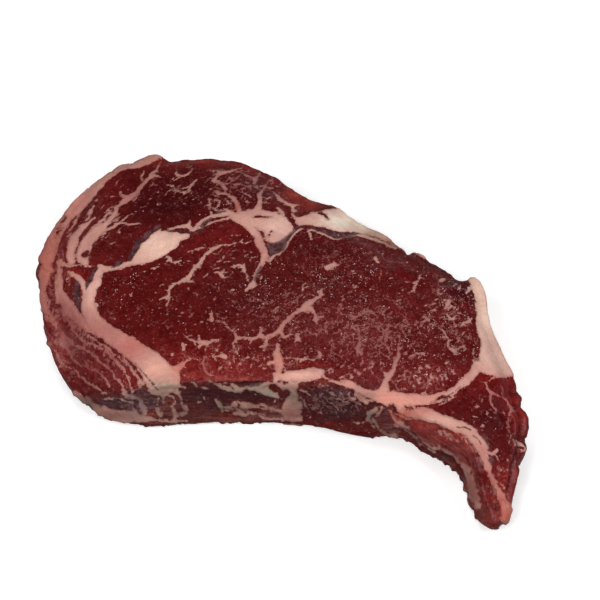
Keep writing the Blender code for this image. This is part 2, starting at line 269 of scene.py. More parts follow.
FAT_VEINS = (
    ("long vein", (
        (-23, 31, 0.4), (-27, 31.8, 0.5), (-30, 30.5, 0.6), (-33.5, 30.3, 0.5), (-36.5, 28.7, 0.8),
        (-38.5, 26.6, 0.9), (-40.5, 24.4, 0.7), (-42, 21.3, 1.2), (-44, 17.5, 0.8),
        (-46.2, 15, 1.1), (-47.8, 11.5, 1.4), (-51, 9.5, 0.8), (-53.5, 7.5, 0.9), (-54.5, 4.5, 0.8),
        (-55.6, 1.8, 0.7), (-58, 0.2, 0.5))),
    ("long vein, twig up", ((-39, 28, 0.4), (-42, 28.5, 0.4), (-48, 26, 0.3))),
    ("long vein, twig right", ((-48, 10.3, 0.6), (-45, 9.8, 0.4))),
    ("long vein, twig down", ((-55, 2, 0.4), (-55, -4, 0.4))),
    ("great fork, upper", (
        (9.2, 5.4, 0.5), (8.4, 3, 0.9), (6.5, 0.8, 0.9), (4.5, -1, 1.6), (2.5, -3.6, 2.3),
        (0, -5.4, 1.2), (-3, -7.6, 1), (-5, -10, 1), (-7, -12.6, 1.4), (-8, -15.5, 1.5))),
    ("great fork, left arm", (
        (-8, -15.5, 1.4), (-11, -18, 1), (-13.5, -19.4, 1), (-16.5, -18.6, 1.3), (-19, -19.7, 1),
        (-22, -19.2, 0.8), (-25.3, -19.6, 0.9), (-26.8, -17, 0.6), (-28.5, -14.8, 0.6),
        (-31.5, -11.8, 0.6))),
    ("great fork, bud", ((-16.5, -18.5, 1.3), (-16, -16.8, 1), (-15.3, -15, 0.4))),
    ("great fork, left root", ((-25.7, -19.5, 0.8), (-26.9, -22.5, 0.6), (-26.2, -25, 0.5), (-25, -27.3, 0.4))),
    ("great fork, middle root", ((-13, -19.5, 0.8), (-14, -22.5, 0.5), (-15, -25.5, 0.4))),
    ("great fork, right root", (
        (-8, -16.5, 1.4), (-6.6, -18.8, 0.8), (-4, -17.6, 0.5), (-1, -17.2, 0.6))),
    ("right root, tip", ((-2, -17.8, 0.8), (-1.2, -20, 0.9), (0.2, -21.6, 0.5))),
    ("great fork, right arm", (
        (3.5, -4, 1.6), (5.2, -6, 1), (6.3, -8.5, 1), (6.5, -10.5, 0.7), (6.3, -12.4, 0.4))),
    ("right arm, twig", ((6.2, -8.4, 0.7), (9.5, -8.6, 0.5))),
    ("crown vein", (
        (-28.5, 18, 0.5), (-26, 18.6, 1), (-24.4, 17.6, 1.2), (-23.5, 15, 0.8), (-22.6, 12.4, 0.7),
        (-22, 9.8, 0.5))),
    ("crown vein, spur", ((-24.5, 18, 0.8), (-23.3, 19.8, 0.5))),
    ("star vein", ((-36, 14.8, 0.5), (-34, 14.6, 1), (-32.8, 13.3, 1), (-31.2, 12, 0.8), (-29.8, 12.6, 0.4))),
    ("star vein, spur", ((-33.4, 14.5, 0.7), (-32, 16.4, 0.4))),
    ("low left vein", (
        (-47.5, -18, 0.5), (-45, -19.6, 0.6), (-42, -20.7, 0.7), (-39.5, -21.3, 1.1),
        (-36.5, -21, 1.2), (-33, -20.4, 0.6))),
    ("low left vein, root", ((-40.3, -24, 0.6), (-38.5, -22.6, 1), (-35.5, -21.3, 0.8))),
    ("low left vein, twig", ((-41.5, -17.8, 0.4), (-39.6, -20.5, 0.6))),
    ("low left twig", ((-47.3, -21.6, 0.6), (-46.4, -25, 0.7))),
    ("round spot", ((-31, -28.3, 1.2), (-29.6, -28.6, 1.5))),
    ("round spot, tail", ((-33.5, -28.6, 0.4), (-31.5, -28.4, 0.6))),
    ("low middle line", ((-5, -29.2, 0.5), (-2, -29.4, 0.5), (1.5, -30.3, 0.8), (4.5, -30, 0.6), (8.5, -29.4, 0.4))),
    ("low middle spot", ((7.7, -26.2, 0.5), (8.4, -28.3, 0.9))),
    ("white patch", ((11, 17.6, 1.2), (13.4, 18.6, 1.5), (14.6, 20.6, 0.5))),
    ("lean spot", ((-36.2, -6, 0.4), (-36.2, -10.3, 1))),
    ("cap vein, first", ((-57, 78, 0.5), (-56.7, 74, 0.5), (-54.8, 71.6, 0.9), (-52.8, 71.6, 0.9), (-49, 76.5, 0.5))),
    ("cap vein, spot", ((-61, 78.4, 0.5), (-60.4, 77.8, 0.6))),
    ("cap vein, second", ((-46.8, 69.4, 0.4), (-49, 66, 0.7), (-50.3, 64.6, 0.8), (-50, 62, 0.4))),
    ("cap vein, third", ((-55, 65, 0.4), (-54.3, 62.3, 0.6), (-52.2, 60.8, 0.5))),
    ("cap vein, fourth", ((-60, 66.4, 0.6), (-57.5, 65, 0.6))),
    ("cap vein, fifth", ((-63.6, 57, 0.4), (-62.2, 54.4, 0.5))),
    ("cap vein, sixth", ((-52, 55.2, 0.5), (-50.3, 53.4, 0.4))),
    ("cap net, crown", (
        (-42, 76.2, 0.4), (-39, 75.1, 0.6), (-36, 73.9, 1.1), (-33, 74.2, 1.3), (-30, 75.4, 0.8),
        (-26.7, 76.8, 0.5))),
    ("cap net, left", (
        (-36.5, 73.3, 0.9), (-38.6, 71, 0.9), (-39.3, 69.2, 1.4), (-37, 67.6, 0.8),
        (-34.7, 65.8, 1), (-33.4, 63.6, 1.4))),
    ("cap net, stem", (
        (-37, 62.6, 0.6), (-35, 60.6, 1), (-32.5, 60, 1), (-30, 58.4, 1.2), (-28.3, 56, 1.3),
        (-27.5, 52.6, 1.4), (-27, 49, 1.6))),
    ("cap net, loop", (
        (-40.5, 57.5, 0.8), (-38.5, 57.2, 0.5), (-36, 56.2, 0.5), (-36, 53.6, 0.5), (-38, 51.5, 0.5),
        (-35, 50.4, 0.6), (-32, 51.5, 0.7))),
    ("cap net, loop foot", ((-40.4, 57, 0.5), (-40.4, 52, 0.4), (-39, 48, 0.5))),
    ("cap net, white bead", ((-32.3, 56.2, 0.7), (-31, 54.6, 0.6))),
    ("cap net, right", ((-25, 72, 0.5), (-22.3, 71, 0.8), (-20.4, 69.3, 1.5), (-20.4, 67, 0.7))),
    ("cap net, right spur", ((-20.3, 70.6, 0.8), (-17.8, 73.4, 0.7))),
    ("cap net, trunk", (
        (-15.8, 65, 0.8), (-17.2, 62, 1), (-18, 59, 1.3), (-18, 56, 1.3), (-18.6, 53, 1.7),
        (-19.6, 50, 2.2))),
    ("cap net, trunk spur", ((-15.6, 57, 0.5), (-13.4, 58.7, 0.6))),
    ("cap net, cross", ((-24.5, 65, 0.4), (-20.8, 65.3, 0.5), (-15.5, 66, 0.5))),
    ("cap right wedge", (
        (-11.8, 61.3, 0.7), (-10, 59, 1), (-8.6, 56.8, 1.2), (-6, 54.6, 1.3), (-3, 53.4, 1.7),
        (-0.6, 54, 0.6))),
    ("cap right wedge, foot", ((-3.6, 53, 1.2), (-2.6, 50, 0.9))),
    ("cap right spot", ((-14, 64, 0.6), (-12.5, 64.2, 0.7))),
    ("cap low bead", ((-10.3, 51.4, 0.9), (-8.6, 49.6, 0.9), (-7.4, 47.8, 0.7))),
    ("gap root", ((-3.4, 48, 0.9), (-2, 45.6, 1.2), (-0.4, 43.6, 1.2))),
    ("eye top twig", ((3.6, 39.4, 0.8), (4, 36.4, 0.7), (4.6, 33, 0.4))),
    ("right vein, first", ((23, -12, 0.5), (23.4, -14.6, 0.6), (24, -18, 0.4), (24, -22, 0.6), (23, -25.4, 1), (25, -27.6, 0.6))),
    ("right vein, second", ((36.5, -13.5, 0.5), (35.5, -15.4, 0.5), (34.8, -18.4, 0.8), (34.3, -21, 0.5), (35.5, -25, 0.6), (36, -28, 0.4))),
    ("right vein, level", ((20.5, -8, 0.5), (22, -9, 0.7), (24.5, -7.6, 0.6), (28.8, -5.8, 0.6), (31, -8.4, 0.5))),
    ("right vein, upper", ((51.3, 14, 0.5), (49.7, 10.4, 0.6), (48.2, 7.4, 0.8), (45, 3, 0.5))),
    ("right bead, far", ((59, 10.2, 0.9), (60.4, 10.6, 1.2))),
    ("right bead, corner", ((69.4, 4, 0.5), (71, 6.2, 0.9))),
    ("right bead, pale", ((62.2, 0, 0.6), (61.4, -1.6, 1.2), (60, -3.8, 0.4))),
    ("right bead, upper", ((32.6, 23.5, 0.5), (32.8, 21.2, 0.9), (34.2, 20.4, 0.4))),
    ("right hook", (
        (57.3, -15.3, 0.5), (59.4, -17.7, 0.6), (59.8, -21.6, 0.5), (60.3, -24.8, 0.5),
        (61.6, -26, 0.8), (63.6, -24.6, 0.4))),
    ("right dash", ((60.6, -8, 0.6), (62.2, -9.8, 0.9), (64, -8.2, 0.4))),
    ("right dash, low", ((50.6, -8.6, 0.5), (52.4, -10.8, 0.8))),
    ("right line, far", ((65.5, -13.5, 0.5), (68, -12, 0.6), (70.4, -9.4, 0.4))),
    ("right line, low", ((43.5, -29, 0.5), (46.5, -27.2, 0.6), (50, -27.4, 0.4))),
    ("left twig, first", ((-57, 25, 0.4), (-56, 22, 0.7), (-54, 20.6, 0.8), (-50.5, 21.2, 0.7))),
    ("left twig, second", ((-64, 16.5, 0.4), (-60.4, 18, 0.5))),
    ("tail spot", ((67.2, -52.3, 0.4), (68.4, -51.8, 0.7))),
    ("tail spot, low", ((71.8, -55.2, 0.4), (71.6, -56, 0.3))),
)

# Part of the veins' width that is solid; the rest is their ragged edge.
VEIN_SHARE = 0.8

# Pale, greyish fat and membrane on the near wall, in the same plan as the seams above.
WALL_FILMS = (
    ("nose fat", (
        (-88, -46, 1), (-84, -48.6, 1.2), (-80, -51.3, 1.3), (-77, -53.6, 1.8), (-73, -55.4, 2.3),
        (-69, -56.3, 2.8), (-64.5, -56.6, 2.4), (-61, -57.4, 1.5), (-56, -57.8, 0.8))),
    ("nose film", (
        (-69.6, -44, 0.5), (-68.4, -46, 0.9), (-66.5, -47.4, 0.9), (-64, -48.3, 0.7),
        (-62.4, -49.4, 0.7), (-61.4, -51.2, 0.9), (-60.2, -53.2, 1.2), (-59.2, -54.8, 1.3))),
    ("nose film, upper thread", ((-75, -48.6, 0.4), (-71, -48.7, 0.5), (-67.8, -49.6, 0.5), (-65, -51, 0.4))),
    ("nose film, lower thread", ((-72, -51.6, 0.3), (-67, -52.2, 0.4), (-63, -54.4, 0.5), (-60.6, -56.6, 0.5))),
    ("upright film, left", (
        (-57.6, -44.4, 0.4), (-56, -46, 0.3), (-55.2, -48.6, 0.4), (-55, -51.6, 0.6),
        (-54.5, -54, 0.7), (-53.3, -55.8, 0.8))),
    ("upright film, right", ((-54, -43.8, 0.8), (-53, -46.2, 0.8), (-52.6, -48.8, 0.3), (-52.8, -51, 0.4))),
    ("corner film", (
        (-58.4, -41, 0.9), (-55, -41.8, 1.5), (-51, -42.4, 1.7), (-48, -42.9, 1.4), (-45.6, -43.2, 0.7))),
    ("corner film, hook", (
        (-53.5, -44.2, 1), (-50.6, -44.8, 1.2), (-48.4, -45.6, 1), (-46.8, -47, 0.6),
        (-46, -49.6, 0.3), (-45.4, -51.6, 0.6), (-43.8, -53, 1), (-44.4, -54.8, 0.8),
        (-46.8, -56.2, 0.9), (-48, -57.8, 0.8))),
    ("corner film, inner", ((-49.6, -51.6, 0.4), (-48.2, -53.6, 0.8), (-47.6, -56, 0.9))),
    ("corner thread", ((-51.8, -46.8, 0.4), (-49.8, -47.8, 0.5), (-48.6, -49.6, 0.5), (-49.6, -51.6, 0.4))),
    ("foot thread, left", ((-60, -57.8, 0.4), (-54, -58.4, 0.5), (-49, -58.5, 0.5), (-43, -58.6, 0.4))),
    ("crossing film", ((-36.8, -40.3, 0.5), (-34.4, -41.4, 0.7), (-32.4, -42.4, 0.7), (-30.6, -43.4, 0.6))),
    ("crossing film, lower", ((-43, -41.4, 0.5), (-40.5, -42.7, 0.6), (-37.6, -43.8, 0.6), (-35.6, -44.3, 0.4))),
    ("upper sinew", (
        (-31, -43.2, 0.6), (-28.4, -43.6, 0.9), (-25.6, -44, 0.9), (-22.4, -43.8, 1), (-19, -43.5, 1),
        (-16, -43.6, 1.3), (-13.4, -44.5, 1.6), (-11, -45.8, 1.6), (-9, -47, 0.9))),
    ("upper sinew, lip", (
        (-16, -42.8, 0.6), (-13.4, -42, 0.9), (-11.4, -41, 0.6), (-9.4, -40.9, 0.6), (-7.4, -42, 1.1),
        (-6.4, -43.6, 1.1), (-4.6, -42.2, 1.3), (-1.6, -42.4, 1.5))),
    ("thread under the edge", ((-30, -41.6, 0.4), (-27, -42, 0.5), (-25, -43, 0.4))),
    ("upright film, middle", (
        (-33.2, -48.3, 0.5), (-31.8, -49.8, 1), (-30.8, -51.4, 1.2), (-30, -53, 0.7), (-29.4, -54.6, 0.4))),
    ("short thread", ((-37, -48.3, 0.3), (-38, -49.8, 0.4), (-39.4, -50.5, 0.4))),
    ("torn film, upper", (
        (-26.2, -49.5, 0.4), (-24.5, -50.3, 0.8), (-22, -50.9, 0.9), (-19, -51.5, 0.8),
        (-16.5, -51.7, 0.6), (-14.5, -51, 0.5), (-12.8, -51.8, 0.4))),
    ("torn film, middle", ((-28.6, -52.4, 0.6), (-26, -51.9, 0.9), (-23, -52.2, 0.6), (-20, -52.8, 0.4))),
    ("torn film, lower", ((-29, -54, 0.5), (-26.4, -53.4, 0.7), (-23.4, -53.4, 0.5), (-20, -53.8, 0.4))),
    ("torn film, foot", (
        (-25.2, -55, 0.9), (-22, -54.9, 1), (-19, -55, 0.9), (-16.4, -55.4, 0.7), (-13.6, -55.7, 0.5))),
    ("torn film, right", ((-16, -53, 0.5), (-13, -52.8, 0.6), (-11, -52.6, 0.6), (-9.4, -53.4, 0.5))),
    ("fat pillar", (
        (-3.6, -43.6, 1.9), (-3, -46.6, 2.4), (-2.4, -50, 2.8), (-3, -53, 3.8), (-3.2, -56, 2.6),
        (0, -57.4, 1.2))),
    ("fat pillar, left foot", ((-10.4, -53.6, 0.6), (-7.4, -54.2, 1.4), (-5, -56, 1.6))),
    ("foot thread, middle", ((-15, -56.5, 0.3), (-11, -57, 0.5), (-6, -57.6, 0.6), (-1, -58.6, 0.5))),
    ("pillar thread", ((0.8, -44, 0.4), (2.8, -45.4, 0.5), (3.9, -47, 0.4))),
    ("pillar thread, lower", ((0.4, -48, 0.4), (1.5, -50, 0.5), (2, -52.2, 0.4))),
    ("muscle top skin", ((17.8, -48.9, 0.4), (20, -48.5, 0.6), (22.6, -48.1, 0.5))),
    ("muscle right skin", ((21.6, -46.6, 0.6), (24.2, -48.4, 0.9), (26, -50, 0.8), (28, -49.6, 0.5))),
    ("right film", (
        (29.2, -53.4, 1.1), (27.4, -55, 1.4), (26.4, -57, 1.1), (26.7, -59.2, 0.9), (28, -61, 0.7))),
    ("right film, edge", ((31.8, -52.6, 0.7), (30.6, -54.6, 0.7), (29.6, -56.8, 0.5))),
    ("armpit film", (
        (28, -58.2, 0.5), (29.2, -60.6, 0.7), (31, -62.6, 0.8), (33.6, -64.6, 0.8), (36.6, -66.6, 0.7),
        (41, -69, 0.5))),
    ("armpit film, inner", ((36.2, -60.4, 0.4), (39, -62.6, 0.5), (42, -64.6, 0.5), (45, -66.6, 0.6), (48, -68.6, 0.6), (51, -70.4, 0.5))),
    ("tail film", (
        (51, -70, 0.4), (53.4, -71, 0.6), (56.4, -72.4, 0.8), (59, -75, 1.1), (61, -78, 1.4),
        (62.6, -81, 1.6), (63.4, -84, 1.8), (63.6, -88, 1.9), (63.8, -91, 1.7), (64.6, -95, 1.1))),
    ("lower thread", ((44.6, -69.2, 0.3), (47.6, -70, 0.5), (50.4, -72.2, 0.5))),
)

# Lean islands inside the fat, sunken sinew between the muscles, its dark purple partly painted shade of the gap, and
# thin open cracks, sunk and painted dark as shade.
LEAN_ISLANDS = (
    ("red island", ((-92, 26.4, 0.9), (-92.3, 24, 1.1))),
    ("red island, right", ((-89.4, 30, 0.5), (-89.4, 26.6, 0.4))),
    ("rim streak", ((-103, 47, 0.4), (-106, 38, 0.5), (-105.4, 30, 0.4))),
    ("rim streak, inner", ((-99, 47, 0.5), (-101.5, 40, 0.7), (-103, 33, 0.9), (-104.3, 22, 0.9))),
    ("left slot", ((-104, 17.5, 0.9), (-104.2, 11, 1.4), (-104.6, 5, 1.4), (-101.5, -0.5, 0.9), (-98.5, -4.5, 0.5))),
    ("kernel slit", ((-20.3, 46.2, 0.6), (-17.8, 46.6, 0.9), (-15.4, 46.3, 0.4))),
    ("kernel slit, right", ((-14.6, 46, 0.4), (-12.6, 46.2, 0.3))),
    ("kernel pit", ((-13.6, 35.8, 0.5), (-13.4, 35.6, 0.5))),
    ("kernel pit, upper", ((-12.5, 37.7, 0.4), (-12.4, 37.5, 0.4))),
    ("gap slit", ((-4.2, 46.2, 0.5), (-3.4, 43.8, 0.5))),
    ("seam streak", ((58, -47.2, 0.4), (55.5, -47.6, 0.5), (53, -48.8, 0.3))),
    ("seam streak, lower", ((57, -49.4, 0.3), (53, -51, 0.5), (48, -52, 0.5), (43, -52.9, 0.5), (41, -53.2, 0.3))),
    ("armpit streak", ((35.6, -51.6, 0.6), (36.4, -53, 0.6), (38, -54.8, 0.5), (40.4, -55.4, 0.3))),
    ("spur blood", ((-6.7, -34.6, 0.5), (-7.2, -36.6, 0.5))),
    ("far rim notch", ((9, 49, 1), (11.5, 47, 0.6), (12.5, 45, 0.4))),
    ("edge loop", ((6.4, -41.8, 0.5), (7.2, -39.8, 0.5), (9, -39, 0.5), (10.8, -40, 0.5), (11, -41.8, 0.5))),
    ("pillar blot", ((-8, -46.4, 0.6), (-6.6, -46.8, 1), (-5, -47.1, 0.8), (-4.3, -45.2, 0.5))),
    ("sinew blot", ((-12, -42.8, 0.4), (-10.4, -42.8, 0.9), (-9.2, -43.6, 0.8))),
)
SINEWS = (
    ("kernel sinew, left", ((-72.4, 21.5, 0.8), (-72, 26, 1.4), (-70.8, 30, 1.5), (-70.5, 33.6, 0.8))),
    ("kernel sinew, lower", ((-79.5, 17.6, 0.9), (-77.8, 19, 1.4), (-75.8, 21.6, 0.9))),
    ("kernel sinew, upper", ((-67.5, 33, 0.9), (-66.4, 36, 1.4), (-64.4, 38.8, 1.2), (-62, 41.6, 1))),
    ("kernel sinew, right", ((-58, 38.9, 0.6), (-53.5, 38, 0.9), (-49, 37.2, 0.7), (-46, 37.2, 0.7), (-43, 39.6, 0.8))),
    ("link sinew", ((-43.4, 41, 0.7), (-41.4, 43.6, 1), (-39.4, 45.6, 0.6))),
    ("cap sinew", ((-37, 49.2, 0.8), (-35, 49.3, 1.1), (-33.4, 50, 0.6))),
    ("gap sinew", (
        (2.4, 40.9, 0.5), (-0.4, 41.2, 0.6), (-3, 38, 0.7), (-5, 34.4, 0.9), (-7.6, 30.8, 2),
        (-10.5, 28, 2.8), (-12.6, 25.6, 1.2))),
    ("gap sinew, left", ((-13.6, 30.5, 0.9), (-11.5, 30, 1.4))),
    ("far sinew", (
        (5, 40.2, 0.5), (9, 39.2, 1), (13, 37, 1.6), (17, 35.6, 1.8), (21.5, 35.8, 1.2),
        (26, 37, 0.5))),
    ("left slit", ((-93.8, 9.4, 0.9), (-93.6, 4, 1.4), (-92.4, -1, 0.9), (-90.6, -6, 0.5))),
    ("left slit, right", ((-86.8, 17, 0.7), (-88.2, 12, 1.1), (-89.2, 7.4, 0.8), (-89.6, 4.6, 0.3))),
    ("nose hollow", ((-76, -50.4, 0.6), (-72, -50.9, 1.1), (-67.5, -51.4, 1.1), (-64, -52.6, 0.7))),
    ("nose hollow, right", ((-65.4, -46, 0.5), (-61.6, -46, 0.9), (-59, -47.2, 1), (-57.4, -50, 1), (-57, -52.6, 0.7))),
    ("division shade", ((-16.2, 18.6, 0.5), (-18, 14, 0.6), (-19, 9.5, 0.4))),
)
CRACKS = (
    ("rim nick, left", ((-98.6, 65.4, 0.5), (-95.4, 64.6, 0.4), (-93, 62, 0.2))),
    ("rim nick, upper", ((-88.6, 77.4, 0.5), (-86, 74.8, 0.4), (-84.6, 72, 0.2))),
    ("rim nick, crown", ((-81.4, 83, 0.5), (-79.8, 80.4, 0.4), (-77, 79, 0.2))),
    ("rim nick, end", ((-112.6, 20.4, 0.5), (-109.4, 18.8, 0.4), (-106, 18.6, 0.2))),
    ("rim nick, low", ((-106.6, -6, 0.5), (-104, -7.4, 0.4), (-101, -10.6, 0.2))),
    ("band crack", (
        (-68, -29.4, 0.05), (-64.6, -33, 0.2), (-61, -37.4, 0.3), (-57.6, -41.8, 0.35), (-55.4, -44, 0.3))),
    ("torn line crack", ((-97, 17.8, 0.25), (-88, 17.4, 0.3), (-85, 17.9, 0.2))),
    ("kernel crack", ((-20, 40.6, 0.2), (-17.6, 37.6, 0.25), (-15.2, 34.8, 0.2))),
    ("strip crack", ((59.6, -61.6, 0.2), (63, -62, 0.3), (64.8, -63.4, 0.2))),
    ("strip crack, lower", ((65.6, -65.4, 0.3), (67, -66.8, 0.3), (67.8, -69, 0.2))),
    ("hollow crack", ((-70.6, -49.5, 0.4), (-67.5, -50.7, 0.5), (-65, -52.2, 0.5), (-63.4, -53.4, 0.4))),
    ("hollow crack, left", ((-75.8, -50.2, 0.4), (-73, -50.4, 0.5))),
    ("wall slit, upper", ((-25.6, -41.5, 0.5), (-23, -41.8, 0.9), (-20, -41.9, 1), (-17, -41.7, 0.9), (-15, -41.3, 0.4))),
    ("wall slit, middle", ((-25.4, -48.8, 0.35), (-23, -48.9, 0.35), (-21, -49.6, 0.35), (-18.6, -50, 0.4), (-16.4, -50.5, 0.3))),
    ("wall slit, right", ((-12.4, -51.7, 0.5), (-10.6, -51.2, 0.5), (-8.6, -50.7, 0.3))),
    ("wall slit, left", ((-31, -52.6, 0.5), (-30.8, -53, 0.5))),
    ("wall slit, short", ((-28.8, -51.5, 0.4), (-27, -51.5, 0.4))),
    ("wall slit, low", ((-28.8, -55.2, 0.35), (-27.4, -55.1, 0.4), (-26.2, -55.4, 0.6))),
    ("pillar slit", ((0.6, -49, 0.25), (1.2, -50.4, 0.35), (1.3, -51.6, 0.25))),
    ("pillar slit, upper", ((2.2, -46.4, 0.3), (1.9, -48, 0.4))),
    ("seam pit", ((27.4, -50.9, 0.5), (29, -51.3, 0.9), (31, -51.6, 0.8))),
    ("tail notch", ((86, -45.8, 0.5), (83.5, -46.2, 0.4), (80, -46, 0.2))),
    ("tail notch, upper", ((86.4, -51.6, 0.4), (83.5, -52, 0.3))),
    ("tail notch, lower", ((87, -66.6, 0.5), (83, -66.9, 0.5), (80.4, -67.2, 0.3))),
    ("armpit crease", ((36, -52.4, 0.3), (37.4, -54.2, 0.3), (40, -55.5, 0.3))),
    ("armpit edge", ((38.4, -61.6, 0.3), (41, -63.2, 0.4), (44, -65.4, 0.3))),
    ("tail foot fold", ((47, -69, 0.4), (51, -71.6, 0.4), (56, -74.4, 0.5), (59, -77.4, 0.5), (60.8, -81, 0.4))),
    ("tip crease", ((71.4, -92.8, 0.4), (70.4, -94.2, 0.4), (70.2, -97, 0.3))),
    ("seam crack", ((64, -42.4, 0.2), (57, -47.2, 0.25), (50, -50, 0.2))),
)

# Soft ridges that stand proud of the face, as height in mm and (x, y, half width).
RIDGES = (
    (1.1, ((50, -56.5, 2.4), (57.5, -60, 3), (64, -63.4, 3), (67.5, -69.5, 3), (69, -76, 2))),
    (0.8, ((36, -53.6, 1.6), (42, -55, 2.4), (48, -55.4, 2.4))),
    (0.7, ((35.4, -54.5, 0.8), (37, -58, 1), (40, -61, 0.8))),
    (0.6, ((53, -69.6, 1.4), (58.5, -73, 1.8), (62.4, -79.4, 2), (64, -88, 2.2))),
    (0.5, ((-63, -28.5, 4), (-57, -35, 5), (-55, -39, 4))),
    (0.5, ((-86, 10, 2), (-88, 0, 2.6), (-84, -11, 2.6), (-74, -20, 3))),
    (0.6, ((-9, -37, 2), (0, -37.5, 3), (8, -36, 2))),
    (0.5, ((-68, 24, 3), (-61, 31, 5), (-52, 35, 2))),
    (0.5, ((-25, 46, 3), (-12, 41, 5), (-10, 35, 2))),
    (0.8, ((82, -68.4, 1), (84, -70.4, 1))),
    (0.9, ((73, -94, 2.6), (73, -99, 2.4))),
    (0.6, ((78, -42, 3), (82, -43, 3))),
    (0.6, ((84, -56, 3.4), (84, -61, 3))),
    (0.5, ((-110, 24, 2.4), (-108, 38, 3), (-100, 54, 3))),
)

# Zones of short scattered marks: middle, reach, count, direction and spread in degrees,
# longest length and half width, all lengths in mm.
MARK_ZONES = (
    ((-57, 62), (24, 12), 56, 35, 40, 3.2, 0.26),
    ((-24, 67), (14, 9), 46, 10, 80, 3.6, 0.45),
    ((-84, 47), (6, 20), 26, 58, 12, 6.0, 0.30),
    ((-104, 40), (4, 18), 24, 70, 10, 7.0, 0.30),
    ((-66, 2), (20, 18), 40, 30, 90, 2.2, 0.24),
    ((-44, -6), (16, 12), 34, 50, 90, 2.6, 0.30),
    ((-30, 22), (16, 12), 30, 40, 50, 3.4, 0.28),
    ((-4, 4), (18, 16), 44, 45, 50, 3.0, 0.32),
    ((30, 6), (18, 14), 44, 40, 60, 2.4, 0.30),
    ((33, -22), (24, 13), 80, 75, 50, 3.2, 0.36),
    ((61, -8), (12, 19), 48, 48, 24, 3.0, 0.34),
    ((-25, -30), (34, 6), 60, 70, 60, 3.0, 0.38),
    ((46, -38), (16, 6), 40, 80, 50, 2.6, 0.40),
    ((14, -50), (12, 7), 64, 120, 70, 3.0, 0.2),
    ((20, -36), (10, 4), 30, 80, 60, 2.4, 0.3),
    ((-92, -22), (13, 11), 20, 130, 10, 10.0, 0.2),
    ((-76, -35), (10, 8), 18, 128, 10, 9.0, 0.22),
    ((-98, 6), (3, 10), 12, 110, 10, 7.0, 0.30),
    ((72, -54), (7, 9), 12, 110, 60, 1.8, 0.22),
    ((56, -65), (10, 5), 20, 140, 30, 2.0, 0.34),
    ((75, -80), (4, 9), 9, 100, 60, 1.8, 0.26),
)

# ---------------------------------------------------------------- colour of each region

